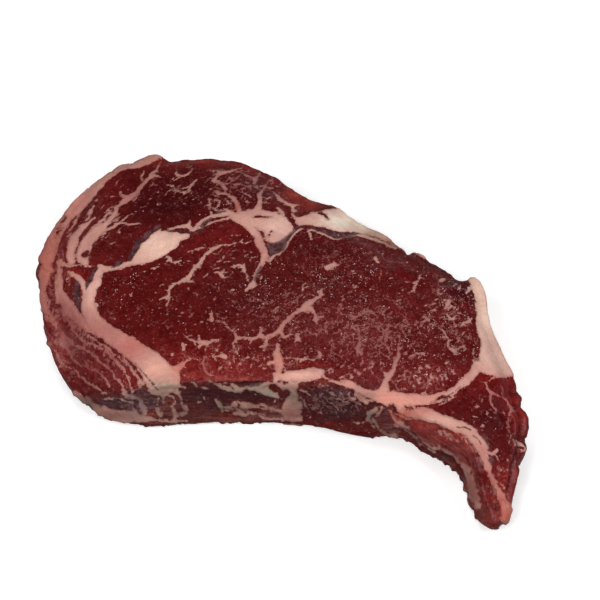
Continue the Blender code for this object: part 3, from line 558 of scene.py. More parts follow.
# Soft patches, as (x, y, reach in x, reach in y, (red, green, blue) as displayed, 0 to 255).
LEAN_PATCHES = (
    (-55, 60, 34, 20, (72, 11, 13)),
    (-60, 56, 20, 12, (64, 9, 12)),
    (-86, 62, 8, 18, (92, 18, 18)),
    # Brighter red along the far rim: painted light, standing in for the light that the rolled rim catches.
    (-40, 82, 26, 4, (130, 42, 34)),
    (-62, 80, 12, 4, (116, 22, 18)),
    (-22, 76, 7, 4, (130, 38, 32)),
    (-12, 69, 6, 4.4, (130, 32, 26)),
    (-3, 61, 6, 4.4, (152, 58, 48)),
    (5, 55, 6, 4, (148, 54, 44)),
    (-20, 62, 10, 10, (72, 16, 20)),
    (-95, 14, 8, 5, (116, 24, 22)),
    (-103, 30, 5, 30, (104, 26, 26)),
    (-96, -14, 12, 10, (106, 30, 32)),
    (-88, -26, 14, 9, (84, 14, 18)),
    (-80, -36, 13, 7, (100, 24, 26)),
    (-98, -28, 8, 10, (120, 42, 40)),
    (-68, -34, 9, 8, (98, 26, 28)),
    (-66, -41, 6, 4, (122, 30, 28)),
    (-70, 2, 22, 20, (88, 16, 14)),
    (-52, -14, 18, 12, (86, 16, 14)),
    (-35, 33, 16, 10, (104, 24, 22)),
    (-22, 8, 16, 18, (80, 20, 20)),
    (-45, -30, 20, 9, (110, 30, 28)),
    (-25, -34, 18, 6, (122, 38, 36)),
    (15, 8, 20, 18, (84, 20, 20)),
    (5, -20, 22, 12, (98, 34, 34)),
    (28, -18, 18, 14, (102, 38, 38)),
    (45, 14, 16, 12, (86, 12, 14)),
    (55, -14, 16, 16, (88, 18, 20)),
    (50, -38, 18, 8, (110, 36, 36)),
    (68, 6, 6, 6, (66, 16, 26)),
    (26, -40, 8, 6, (98, 30, 31)),
    (8, 30, 16, 8, (78, 14, 16)),
    (72, -44, 10, 6, (92, 18, 18)),
    (74, -39, 6, 2.4, (122, 32, 30)),
    (74, -59, 9, 8, (68, 8, 12)),
    # Brighter red down the tail's right edge: painted light that lifts the shade where the rounding turns away.
    (82, -43, 4, 5, (122, 32, 32)),
    (84, -58, 4, 7, (128, 36, 36)),
    (83, -50, 3, 4, (122, 30, 30)),
    (81, -74, 3.4, 6, (124, 32, 32)),
    (79.6, -84, 3, 7, (128, 36, 36)),
    (77.6, -93, 3, 5, (140, 50, 46)),
    (76, -72, 8, 8, (80, 14, 16)),
    (76, -84, 5, 8, (112, 28, 28)),
    (62, -52, 10, 3, (84, 10, 14)),
    (68, -88, 2.2, 9, (92, 8, 8)),
    (63, -86, 2.4, 9, (122, 70, 62)),
    (64.4, -95, 2.6, 4, (120, 62, 54)),
    (46, -60, 8, 4, (156, 60, 52)),
    (56, -65, 8, 4, (146, 48, 42)),
    (62, -72, 4, 6, (130, 36, 34)),
    (38.5, -57.5, 2, 3, (160, 66, 54)),
    (43, -67, 5, 1.4, (84, 42, 42)),
    (48, -72, 5, 2, (74, 22, 22)),
    (56, -74, 5, 2.4, (74, 40, 38)),
    (36, -62, 4, 4, (84, 50, 54)),
    (33, -56, 2.2, 4, (92, 42, 48)),
    (66, -101, 5, 3, (124, 58, 52)),
    (-60, -51, 12, 7, (74, 50, 52)),
    (-38, -47, 12, 5, (60, 26, 32)),
    (-20, -47.5, 14, 2.4, (58, 20, 26)),
    (-34, -53, 4, 4, (72, 34, 38)),
    (-25, -58, 16, 2.4, (104, 44, 38)),
    (-44, -58, 10, 3, (86, 50, 46)),
    (-13, -56.6, 10, 1.4, (110, 70, 66)),
    (-50, -50, 3, 6, (96, 44, 42)),
    (-56, -55.4, 3, 1.6, (104, 24, 20)),
    (-72, -51, 8, 3, (60, 40, 50)),
    (-72, -57.6, 14, 3, (124, 82, 74)),
    (14, -46, 12, 4, (66, 42, 46)),
    (14, -53, 13, 6, (56, 28, 34)),
    (5, -56, 5, 2.4, (74, 10, 14)),
    (14, -61, 13, 1.8, (98, 26, 22)),
    (25, -62.6, 4, 1.8, (84, 6, 8)),
    (8, -40.6, 4, 1.4, (118, 52, 50)),
    (-43, -37.4, 5, 2.4, (140, 58, 52)),
    (-28, -39.2, 14, 1.6, (146, 72, 66)),
    (3, -32.6, 7, 1.4, (128, 34, 28)),
    (16, -37, 10, 2.6, (110, 40, 38)),
    (73.6, -95, 3.4, 6, (160, 76, 68)),
)
FAT_PATCHES = (
    (-108, 20, 8, 34, (174, 100, 88)),
    (-113, 24, 3, 30, (162, 84, 74)),
    (-100, 54, 8, 16, (186, 122, 112)),
    (-70, 82, 10, 5, (200, 136, 122)),
    (-90, 30, 10, 14, (190, 136, 126)),
    (-98, -8, 10, 12, (170, 110, 104)),
    (-104, -12, 6, 12, (164, 96, 86)),
    (-74, 62, 12, 14, (162, 104, 98)),
    (-86, 4, 6, 12, (220, 168, 154)),
    (-80, -15, 9, 6, (180, 118, 108)),
    (-68, -24, 9, 6, (192, 118, 108)),
    (-56, -34, 7, 6, (226, 166, 148)),
    (-47, -33, 3.4, 5, (196, 118, 106)),
    (-37, -33, 3, 6, (160, 88, 82)),
    # Paler pink where the upper left rim rounds away: painted light that lifts its shade.
    (-90, 72, 8, 6, (206, 140, 124)),
    (-102, 57, 5, 8, (204, 134, 120)),
    (-61, 30, 14, 9, (230, 188, 170)),
    (-28, 53, 2.6, 4, (180, 100, 84)),
    (-22, 44, 8, 4, (202, 150, 136)),
    (-10, 41, 8, 6, (222, 178, 164)),
    (-17, 28, 3, 10, (192, 130, 120)),
    (-25, 66, 24, 12, (158, 104, 100)),
    (5, 44, 7, 4, (196, 144, 132)),
    (18, 44, 10, 6, (238, 220, 202)),
    (28, 41, 7, 4, (222, 200, 178)),
    (35, 36, 6, 4, (180, 148, 128)),
    (-84, -32, 15, 12, (148, 80, 76)),
    (-95, -14, 8, 10, (148, 84, 80)),
    (42, 31, 6, 4, (164, 116, 104)),
    (52, 24, 4, 3, (210, 160, 142)),
    (75, 8, 5, 10, (234, 194, 174)),
    (76, -10, 5, 14, (236, 200, 182)),
    (78, -30, 8, 8, (218, 178, 164)),
    (66, -40, 8, 7, (196, 142, 132)),
    (48, -48.5, 12, 3, (206, 142, 128)),
    (34, -48.5, 9, 4, (222, 150, 132)),
    (40, -50.5, 6, 2, (226, 160, 142)),
    (40, -55, 7, 2.6, (198, 108, 94)),
    (49, -54, 5, 2, (206, 136, 122)),
    (56, -58.6, 6, 3, (212, 162, 148)),
    (63, -64, 5, 4, (198, 142, 130)),
    (68, -73, 4, 5, (190, 122, 112)),
    (71, -84, 4, 6, (166, 96, 86)),
    (73, -92, 3, 3, (176, 96, 86)),
    (77, -50, 5, 9, (160, 88, 86)),
    (79, -62, 4, 7, (156, 84, 84)),
    (74, -98, 4, 4, (176, 92, 80)),
    (36, -58, 1.6, 4, (196, 110, 98)),
    (0, -38, 8, 2.6, (240, 186, 166)),
    (-8, -31, 4, 7, (206, 134, 120)),
    (18, -41, 7, 3, (228, 164, 146)),
    (-20, -12, 26, 12, (180, 118, 108)),
    (30, -16, 24, 22, (152, 92, 90)),
    (-72, -56, 10, 3, (136, 94, 84)),
    (-82, -50, 6, 4, (122, 94, 86)),
    (-63, -50, 5, 6, (132, 108, 108)),
    (-54, -50, 3, 8, (142, 112, 100)),
    (-52, -42.6, 7, 2, (160, 134, 118)),
    (-45, -53, 4, 5, (138, 108, 98)),
    (-37, -42, 6, 2, (124, 96, 92)),
    (-20, -44, 14, 2.4, (148, 128, 114)),
    (-12, -45.4, 5, 2, (156, 142, 124)),
    (-30, -51, 3, 4, (130, 110, 98)),
    (-20, -51, 7, 1, (166, 126, 112)),
    (-24, -53, 6, 1, (122, 100, 90)),
    (-20, -55, 7, 1, (156, 120, 108)),
    (-11, -54.6, 5, 1.6, (122, 88, 86)),
    (-2.5, -47, 4, 4, (140, 116, 102)),
    (-3, -55, 5, 3, (148, 98, 90)),
    (8, -50, 8, 6, (112, 82, 80)),
    (24, -48, 5, 2, (156, 112, 100)),
    (27.5, -57, 3, 5, (128, 108, 98)),
    (32, -63, 4, 4, (146, 104, 94)),
    (44, -66, 8, 4, (122, 94, 90)),
    (59, -74, 6, 8, (150, 98, 90)),
    (64, -88, 3, 8, (142, 88, 80)),
    (83, -69, 4, 4, (202, 156, 146)),
)
BASE_LEAN = (88, 20, 20)
BASE_FAT = (196, 146, 134)

# Soft zones, as (x, y, reach in x, reach in y, strength): wet places on the lean, with a glossier coat and painted
# glint dots, fine marbling, and long fibres that follow the outline.
WET_PATCHES = (
    (28, 12, 22, 12, 1.0), (18, -4, 16, 12, 0.7), (66, 5, 7, 6, 1.0), (-72, 4, 14, 12, 0.45),
    (50, -28, 18, 14, 0.7), (-10, 0, 20, 20, 0.3), (-14, 28, 12, 10, 0.3), (60, -8, 12, 14, 0.4),
)
MARBLING_PATCHES = (
    (28, -14, 30, 18, 1.0), (-10, -4, 24, 18, 0.7), (-28, 64, 18, 12, 0.7), (-57, 62, 26, 14, 0.15),
    (-60, 0, 26, 24, 0.12), (62, -10, 14, 20, 0.9), (-20, -32, 34, 8, 0.7), (46, -40, 16, 8, 0.9),
    (12, 20, 22, 16, 0.6), (14, -50, 14, 7, 1.0), (60, -66, 12, 6, 0.7), (76, -80, 6, 12, 0.4),
    (74, -56, 12, 14, 0.1),
)
FIBRE_PATCHES = (
    (-94, -18, 12, 16, 0.8), (-76, -38, 14, 8, 0.15), (-108, 14, 8, 40, 0.8), (-98, 44, 10, 26, 0.45),
    (34, -60, 5, 8, 0.8), (46, -68, 10, 5, 0.8), (60, -82, 6, 14, 0.8), (-58, -52, 18, 8, 0.6),
    (-24, -57, 18, 3, 0.5), (-20, -53, 12, 4, 0.5),
)


# ---------------------------------------------------------------- curves and noise

def smooth_curve(points, step=0.5):
    """Cubic curve through the points: each span blends its ends and slopes by Hermite's weights."""
    knots = np.array(points, dtype=float)
    spans = np.linalg.norm(np.diff(knots[:, :2], axis=0), axis=1)
    place = np.concatenate(([0.0], np.cumsum(spans)))
    slopes = np.gradient(knots, place, axis=0)
    fine = np.linspace(0.0, place[-1], max(3, int(place[-1] / step) + 2))
    left = np.clip(np.searchsorted(place, fine, side="right") - 1, 0, len(knots) - 2)
    span = spans[left][:, None]
    t = (fine[:, None] - place[left][:, None]) / span
    start = (2 * t**3 - 3 * t**2 + 1) * knots[left] + (t**3 - 2 * t**2 + t) * span * slopes[left]
    end = (3 * t**2 - 2 * t**3) * knots[left + 1] + (t**3 - t**2) * span * slopes[left + 1]
    return start + end


def side_of(points):
    """A side's curve with the part of its length travelled at each sample."""
    curve = smooth_curve(points, 0.4)
    travelled = np.linalg.norm(np.diff(curve, axis=0), axis=1)
    length = np.concatenate(([0.0], np.cumsum(travelled)))
    return curve, length / length[-1]


def along(side, part):
    """Points at the given parts of a side's length."""
    curve, length = side
    return np.stack([np.interp(part, length, curve[:, axis]) for axis in (0, 1)], axis=-1)


def soft_noise(places, size, seed):
    """Value noise from -1 to 1: random numbers on a lattice of that size, blended by cubic steps."""
    table = np.random.default_rng(seed).uniform(-1.0, 1.0, (32, 32, 32))
    grid = places / size
    cell = np.floor(grid).astype(int)
    t = grid - cell
    t = t * t * (3.0 - 2.0 * t)
    total = np.zeros(len(places))
    for corner in np.ndindex(2, 2, 2):
        weight = np.prod(np.where(np.array(corner), t, 1.0 - t), axis=-1)
        index = (cell + corner) % 32
        total += weight * table[index[:, 0], index[:, 1], index[:, 2]]
    return total


def step_between(low, high, value):
    """Smooth step: 0 up to low, 1 from high, and 3t^2 - 2t^3 between them."""
    t = np.clip((value - low) / (high - low), 0.0, 1.0)
    return t * t * (3.0 - 2.0 * t)


# ---------------------------------------------------------------- body of the steak

# How far the far side is eased each way, how soon its fine detail fades inwards, in millimetres,
# and the largest share of the width that the two insets may take.
EASING_REACH = 8.0
DETAIL_FADE = 7.0
LARGEST_INSET = 0.8

SIDES = {name: side_of(points) for name, points in (
    ("near", NEAR_SIDE), ("far", FAR_SIDE), ("left", LEFT_END), ("tip", TAIL_TIP))}


def eased(side, reach):
    """The side averaged by a Hann window that reaches so far each way, mirrored past both ends."""
    part = np.linspace(0, 1, 601)
    even = along(side, part)
    cells = int(reach / np.linalg.norm(even[1:] - even[:-1], axis=-1).mean())
    before = 2 * even[0] - even[cells:0:-1]
    after = 2 * even[-1] - even[-2:-cells - 2:-1]
    longer = np.concatenate((before, even, after))
    window = np.hanning(2 * cells + 3)[1:-1]
    window /= window.sum()
    return np.column_stack([np.convolve(longer[:, axis], window, "valid") for axis in (0, 1)]), part


EASED_FAR = eased(SIDES["far"], EASING_REACH)


def plan(u, v, near_inset, far_inset, left_inset, tip_inset):
    """Coons patch between the four sides, with u and v first drawn in by the insets over the span.

    The far side's fine detail fades inwards by exp(-(distance / fade)^2), so no cells fold over.
    """
    width = np.linalg.norm(along(SIDES["far"], u) - along(SIDES["near"], u), axis=-1)
    length = np.linalg.norm(along(SIDES["tip"], v) - along(SIDES["left"], v), axis=-1)
    narrow = np.minimum(1.0, LARGEST_INSET * width / np.maximum(near_inset + far_inset, 0.001))
    v = v + narrow * (near_inset / width * (1 - v) - far_inset / width * v)
    u = u + left_inset / length * (1 - u) - tip_inset / length * u
    fade = np.exp(-((1 - v) * width / DETAIL_FADE) ** 2)[:, None]
    far = along(EASED_FAR, u) * (1 - fade) + along(SIDES["far"], u) * fade
    across = (1 - v)[:, None] * along(SIDES["near"], u) + v[:, None] * far
    endwise = (1 - u)[:, None] * along(SIDES["left"], v) + u[:, None] * along(SIDES["tip"], v)
    corners = np.array((NEAR_SIDE[0], FAR_SIDE[0], NEAR_SIDE[-1], FAR_SIDE[-1]), dtype=float)
    weights = np.stack(((1 - u) * (1 - v), (1 - u) * v, u * (1 - v), u * v), axis=-1)
    return across + endwise - weights @ corners


def cut_height(place, u, v):
    """Full thickness less four falls: left lobe, tail, dip at the tail's root and rolled rim."""
    along_x, along_y = NOSE_SEAM_DIRECTION
    from_seam = place - NOSE_SEAM_POINT
    beyond = from_seam[:, 0] * along_y - from_seam[:, 1] * along_x
    nose = NOSE_DROP * np.clip(beyond / NOSE_REACH, 0, 1.1) ** 1.5
    down_tail = np.clip((TAIL_START - place[:, 1]) / TAIL_REACH, 0, 1.1)
    in_tail = np.clip((place[:, 0] - TAIL_LEFT) / ARMPIT_RADIUS, 0, 1)
    tail = TAIL_DROP * down_tail**1.3 * in_tail
    armpit = ARMPIT_DROP * np.exp(-(np.linalg.norm(place - ARMPIT, axis=-1) / ARMPIT_RADIUS) ** 2)
    to_rim = np.minimum((1 - v) * 90.0, u * 190.0)
    rim = RIM_DROP * np.clip(1 - to_rim / RIM_WIDTH, 0, 1) ** 2
    return THICKNESS - nose - tail - armpit - rim


def rounding_at(keys, part):
    """Radius of the edge at a part of a side's length, straight between the keys."""
    return np.interp(part, [key[0] for key in keys], [key[1] for key in keys])


def wall_insets(u, v, height, top):
    """How far each side stands in from its outline at a height: lean, belly and two quarter rounds."""
    part = height / top
    above = np.clip((part - BELLY_HEIGHT) / (1 - BELLY_HEIGHT), 0, 1) ** 2
    below = np.clip((BELLY_HEIGHT - part) / BELLY_HEIGHT, 0, 1) ** 2
    foot = np.clip((FOOT_ROUNDING - height) / FOOT_ROUNDING, 0, 1)
    foot = FOOT_ROUNDING * (1 - np.sqrt(1 - foot**2))
    insets = []
    for keys, lean, at in (
        (NEAR_ROUNDING, NEAR_LEAN * part, u),
        (FAR_ROUNDING, FAR_INSET * above + FOOT_INSET * below, u),
        (LEFT_ROUNDING, LEFT_INSET * above + FOOT_INSET * below, v),
        (TIP_ROUNDING, LEFT_INSET * above + FOOT_INSET * below, v),
    ):
        radius = np.minimum(rounding_at(keys, at), 0.45 * top)
        rise = np.clip((height - (top - radius)) / radius, 0, 1)
        insets.append(lean + radius * (1 - np.sqrt(1 - rise**2)) + foot)
    return insets


def edge_ring(cells_long, cells_wide):
    """(u, v) of the grid's outer points, once round: near side, tip, far side, left end."""
    long = np.linspace(0, 1, cells_long + 1)
    wide = np.linspace(0, 1, cells_wide + 1)
    u = np.concatenate((long[:-1], np.ones(cells_wide), long[:0:-1], np.zeros(cells_wide)))
    v = np.concatenate((np.zeros(cells_long), wide[:-1], np.ones(cells_long), wide[:0:-1]))
    return u, v


def ring_indices(cells_long, cells_wide):
    """Numbers of a grid's outer points in the order of edge_ring, for points numbered u first."""
    row = cells_wide + 1
    near = np.arange(cells_long) * row
    tip = cells_long * row + np.arange(cells_wide)
    far = np.arange(cells_long, 0, -1) * row + cells_wide
    left = np.arange(cells_wide, 0, -1)
    return np.concatenate((near, tip, far, left))


def grid_quads(cells_long, cells_wide):
    """Four-sided faces of a grid, facing up."""
    row = cells_wide + 1
    i, j = np.meshgrid(np.arange(cells_long), np.arange(cells_wide), indexing="ij")
    a = (i * row + j).ravel()
    return np.stack((a, a + row, a + row + 1, a + 1), axis=-1)


def face_sheet(cells_long, cells_wide, under=False):
    """Grid of points over the cut face, or over the flat underside."""
    u, v = np.meshgrid(np.linspace(0, 1, cells_long + 1), np.linspace(0, 1, cells_wide + 1), indexing="ij")
    u, v = u.ravel(), v.ravel()
    if under:
        flat = np.zeros_like(u)
        insets = [inset + 1.5 for inset in wall_insets(u, v, flat, flat + THICKNESS)]
        place = plan(u, v, *insets)
        return np.column_stack((place, flat)), u, v
    top = np.full_like(u, THICKNESS)
    place = plan(u, v, *wall_insets(u, v, top, top))
    return np.column_stack((place, cut_height(place, u, v))), u, v


def side_sheet(u, v, top, rows):
    """Rows of points down the side: heights fall by a mix of even and cosine steps."""
    sheets = []
    for row in range(1, rows + 1):
        s = row / rows
        part = 0.65 * (1 - s) + 0.35 * 0.5 * (1 + np.cos(np.pi * s))
        height = top * part
        place = plan(u, v, *wall_insets(u, v, height, top))
        sheets.append(np.column_stack((place, height)))
    return np.concatenate(sheets)


def closed_body(cells_long, cells_wide, rows):
    """Points, faces, part and (u, v) of the closed surface: face, side, stitched ring, underside."""
    face, u, v = face_sheet(cells_long, cells_wide)
    ring = ring_indices(cells_long, cells_wide)
    side = side_sheet(u[ring], v[ring], face[ring, 2], rows)
    under, under_u, under_v = face_sheet(cells_long // 2, cells_wide // 2, under=True)
    around = len(ring)
    start_side = len(face)
    start_under = start_side + len(side)
    quads = [grid_quads(cells_long, cells_wide)]
    upper = ring
    for row in range(rows):
        lower = start_side + row * around + np.arange(around)
        quads.append(np.stack((upper, lower, np.roll(lower, -1), np.roll(upper, -1)), axis=-1))
        upper = lower
    quads.append(grid_quads(cells_long // 2, cells_wide // 2)[:, ::-1] + start_under)
    quads = np.concatenate(quads)
    inner = start_under + ring_indices(cells_long // 2, cells_wide // 2)
    fine, middle, after = upper[0::2], upper[1::2], np.roll(upper, -2)[0::2]
    follow = np.roll(inner, -1)
    stitch = np.concatenate((
        np.stack((fine, inner, middle), axis=-1),
        np.stack((middle, follow, after), axis=-1),
        np.stack((middle, inner, follow), axis=-1),
    ))
    points = np.concatenate((face, side, under))
    part = np.zeros(len(points), dtype=int)
    part[start_side:start_under] = 1
    part[start_under:] = 2
    surface = np.stack((
        np.concatenate((u, np.tile(u[ring], rows), under_u)),
        np.concatenate((v, np.tile(v[ring], rows), under_v)),
    ))
    return points, quads, stitch, part, surface


def rim_distance(surface):
    """Distance in from the nearest of the four sides, by each one's share of the span, in mm."""
    u, v = surface
    width = np.linalg.norm(along(SIDES["far"], u) - along(SIDES["near"], u), axis=-1)
    length = np.linalg.norm(along(SIDES["tip"], v) - along(SIDES["left"], v), axis=-1)
    return np.min((v * width, (1 - v) * width, u * length, (1 - u) * length), axis=0)


def point_normals(points, quads, triangles):
    """Mean of the faces round each point, each weighted by its area."""
    normals = np.zeros_like(points)
    for faces in (quads, triangles):
        a, b, c = points[faces[:, 0]], points[faces[:, 1]], points[faces[:, 2]]
        if faces.shape[1] == 4:
            across = np.cross(points[faces[:, 2]] - a, points[faces[:, 3]] - b)
        else:
            across = np.cross(b - a, c - a)
        for corner in range(faces.shape[1]):
            np.add.at(normals, faces[:, corner], across)
    return normals / np.maximum(np.linalg.norm(normals, axis=1, keepdims=True), 1e-9)


# ---------------------------------------------------------------- seams over the body

def seam_place(points, normals, inward):
    """Plan place of the seams that a point shows.

    Where the surface faces the front, it is where the line from the seams' apex through the point
    meets the cut face's plane. Round the back it is straight above the point, and the underside
    adds a slow drift that grows inwards from the rim.
    """
    facing = step_between(-0.35, 0.0, normals @ TOWARDS_FRONT)
    fall = (THICKNESS - points[:, 2]) * facing
    share = (SEAM_APEX[2] - THICKNESS) / (SEAM_APEX[2] - THICKNESS + fall)
    places = SEAM_APEX[:2] + (points[:, :2] - SEAM_APEX[:2]) * share[:, None]
    drift = np.column_stack([soft_noise(points, 26.0, seed) for seed in (31, 32)])
    return places + UNDERSIDE_DRIFT * inward[:, None] * drift


def stroke_depth(places, strokes, reach=4.0):
    """Largest half width less distance over the strokes' points: above 0 inside a stroke, in mm."""
    depth = np.full(len(places), -reach)
    for points in strokes:
        line = smooth_curve(points, 0.4)
        margin = line[:, 2].max() + reach
        low, high = line[:, :2].min(axis=0) - margin, line[:, :2].max(axis=0) + margin
        near = np.nonzero(np.all((places > low) & (places < high), axis=1))[0]
        best = depth[near]
        here = places[near]
        for x, y, half in line:
            best = np.maximum(best, half - np.hypot(here[:, 0] - x, here[:, 1] - y))
        depth[near] = best
    return depth


def lines_of(*groups):
    """Point lists of named strokes."""
    return [points for group in groups for _, points in group]


def scattered_marks(seed):
    """Short bent strokes thrown over each zone: a middle by a normal law, then two steps each way."""
    draw = np.random.default_rng(seed)
    marks = []
    for middle, reach, count, direction, spread, longest, half in MARK_ZONES:
        for _ in range(count):
            place = np.array(middle) + draw.normal(size=2) * np.array(reach) * 0.6
            angle = np.radians(direction + spread * draw.uniform(-1, 1))
            length = longest * draw.uniform(0.3, 1.0)
            width = half * draw.uniform(0.6, 1.25)
            bends = angle + draw.uniform(-0.5, 0.5, 3)
            steps = np.column_stack((np.cos(bends), np.sin(bends))) * length / 3
            line = place + np.concatenate((np.zeros((1, 2)), np.cumsum(steps, axis=0)))
            halves = width * np.array((0.5, 1.0, draw.uniform(0.6, 1.1), 0.4))
            marks.append(np.column_stack((line, halves)))
    return marks


def side_twigs(strokes, seed):
    """Short twigs off the veins: every few millimetres one leaves at a steep angle, left or right."""
    draw = np.random.default_rng(seed)
    twigs = []
    for points in strokes:
        line = smooth_curve(points, 0.4)
        place = 4
        while place < len(line) - 4:
            ahead = line[place + 2, :2] - line[place - 2, :2]
            angle = np.arctan2(ahead[1], ahead[0]) + draw.choice((-1, 1)) * draw.uniform(0.6, 1.6)
            half = line[place, 2]
            length = draw.uniform(0.8, 2.4) + half
            way = np.array((np.cos(angle), np.sin(angle)))
            side = np.array((-way[1], way[0])) * draw.uniform(-0.4, 0.4)
            steps = np.array([way * length * part + side * part**2 for part in (0.0, 0.5, 1.0)])
            halves = np.array((0.7 * half, draw.uniform(0.2, 0.36), 0.12))
            twigs.append(np.column_stack((line[place, :2] + steps, halves)))
            place += draw.integers(4, 12)
    return twigs


def patch_weight(places, patches):
    """Strongest of the soft patches at each place, each a Gaussian of its reach."""
    best = np.zeros(len(places))
    for x, y, reach_x, reach_y, strength in patches:
        weight = np.exp(-(((places[:, 0] - x) / reach_x) ** 2) - ((places[:, 1] - y) / reach_y) ** 2)
        best = np.maximum(best, strength * weight)
    return best


def paint(places, base, patches, wanted):
    """Start from the base colour and move towards each patch's by a Gaussian of its reach.

    The result is scaled in linear light by the wanted colour over the base colour.
    """
    colour = np.tile(np.array(base, dtype=float), (len(places), 1))
    for x, y, reach_x, reach_y, shade in patches:
        weight = np.exp(-(((places[:, 0] - x) / reach_x) ** 2) - ((places[:, 1] - y) / reach_y) ** 2)
        colour += weight[:, None] * (np.array(shade, dtype=float) - colour)
    return linear(colour) * (np.array(wanted) / linear(base))


def linear(colour):
    """Displayed 0 to 255 values as linear light: the sRGB curve undone."""
    value = np.asarray(colour, dtype=float) / 255.0
    return np.where(value <= 0.04045, value / 12.92, ((value + 0.055) / 1.055) ** 2.4)


def seam_fields(points, places, part, rim, settings):
    """All seam depths, zones and colours at the points, in a dict by attribute name."""
    flat = np.column_stack((places, np.zeros(len(places))))
    wander = np.column_stack([
        0.5 * soft_noise(flat, 2.6, seed) + 0.32 * soft_noise(flat, 1.1, seed + 10)
        for seed in (1, 2)])
    ragged = places + wander
    veins = [[(x, y, VEIN_SHARE * half) for x, y, half in line] for line in lines_of(FAT_VEINS)]
    strokes = lines_of(FAT_SEAMS, WALL_FILMS) + veins + side_twigs(veins, 9) + scattered_marks(7)
    fat = stroke_depth(ragged, strokes)
    on_side = part == 1
    fat = fat + np.where(on_side, 0.5 * soft_noise(flat, 1.4, 5) + 0.3 * soft_noise(flat, 0.8, 6), 0.0)
    island = stroke_depth(ragged, lines_of(LEAN_ISLANDS))
    fat = np.minimum(fat, -island)
    return {
        "fat_depth": fat,
        "sinew_depth": stroke_depth(ragged, lines_of(SINEWS), 2.0),
        "crack_depth": stroke_depth(places + 0.5 * wander, lines_of(CRACKS), 2.0),
        "wetness": patch_weight(places, WET_PATCHES),
        "marbling": patch_weight(places, MARBLING_PATCHES),
        "fibres": patch_weight(places, FIBRE_PATCHES),
        "layers": rim + THICKNESS - points[:, 2],
        "lean_colour": paint(places + 1.6 * wander, BASE_LEAN, LEAN_PATCHES, settings.lean_colour),
        "fat_colour": paint(places + 1.6 * wander, BASE_FAT, FAT_PATCHES, settings.fat_colour),
    }


def relief(points, places, fields, part):
    """Height of the skin over the smooth body, in mm: fat and ridges proud, sinew and cracks sunk."""
    rise = 0.3 * step_between(-0.3, 1.2, fields["fat_depth"])
    rise -= 0.7 * step_between(-0.3, 1.0, fields["sinew_depth"])
    rise -= 0.6 * step_between(-0.35, 0.4, fields["crack_depth"])
    for height, line in RIDGES:
        half = max(point[2] for point in line)
        rise += height * step_between(-0.6 * half, half, stroke_depth(places, [line], 3.0))
    rise += 0.35 * soft_noise(points, 14.0, 21) + 0.18 * soft_noise(points, 5.0, 22)
    rise += 0.07 * soft_noise(points, 1.7, 23)
    film = 0.45 * step_between(-0.2, 0.6, fields["fat_depth"])
    side = film + 0.3 * soft_noise(points * (0.5, 0.5, 1.0), 2.2, 24) + 0.2 * soft_noise(points, 1.2, 25)
    rise += np.where(part == 1, side, 0.0)
    return np.where(part == 2, 0.0, rise)


# ---------------------------------------------------------------- mesh and its maps

FACE_MAP_SCALE = 0.0037
FACE_MAP_MIDDLE = (0.388, 0.648)
UNDER_MAP_SCALE = 0.0024
UNDER_MAP_MIDDLE = (0.257, 0.228)
STRIP_LEFT = 0.787
STRIP_STEP = 0.107
STRIP_WIDTH = 0.095

def unwrap(points, quads, stitch, part, cells_long, cells_wide, rows):
    """Place in the unit square for each face corner, in the order of the faces.

    The cut face and the underside are seen flat, each from its own side. The side is laid out as
    two upright strips, with the length round the rim going up and the rows going across.
    """
    flat = points[:, :2] - PLAN_MIDDLE
    top_map = flat * FACE_MAP_SCALE + FACE_MAP_MIDDLE
    under_map = flat * (-UNDER_MAP_SCALE, UNDER_MAP_SCALE) + UNDER_MAP_MIDDLE
    places = np.where((part == 2)[:, None], under_map, top_map)
    corners = places[quads]
    face_cells = cells_long * cells_wide
    around = 2 * (cells_long + cells_wide)
    ring = points[ring_indices(cells_long, cells_wide), :2]
    steps = np.linalg.norm(np.roll(ring, -1, axis=0) - ring, axis=1)
    start = np.concatenate(([0.0], np.cumsum(steps)[:-1])) / steps.sum()
    end = start + steps / steps.sum()
    strip = (start >= 0.5).astype(int)
    low, high = (start - 0.5 * strip) * 2, (end - 0.5 * strip) * 2
    for row in range(rows):
        left = STRIP_LEFT + STRIP_STEP * strip + STRIP_WIDTH * row / rows
        right = left + STRIP_WIDTH / rows
        first = face_cells + row * around
        for corner, (across, up) in enumerate(((left, low), (right, low), (right, high), (left, high))):
            corners[first:first + around, corner] = np.column_stack((across, 0.01 + 0.93 * up))
    return np.concatenate((corners.reshape(-1, 2), under_map[stitch].reshape(-1, 2)))


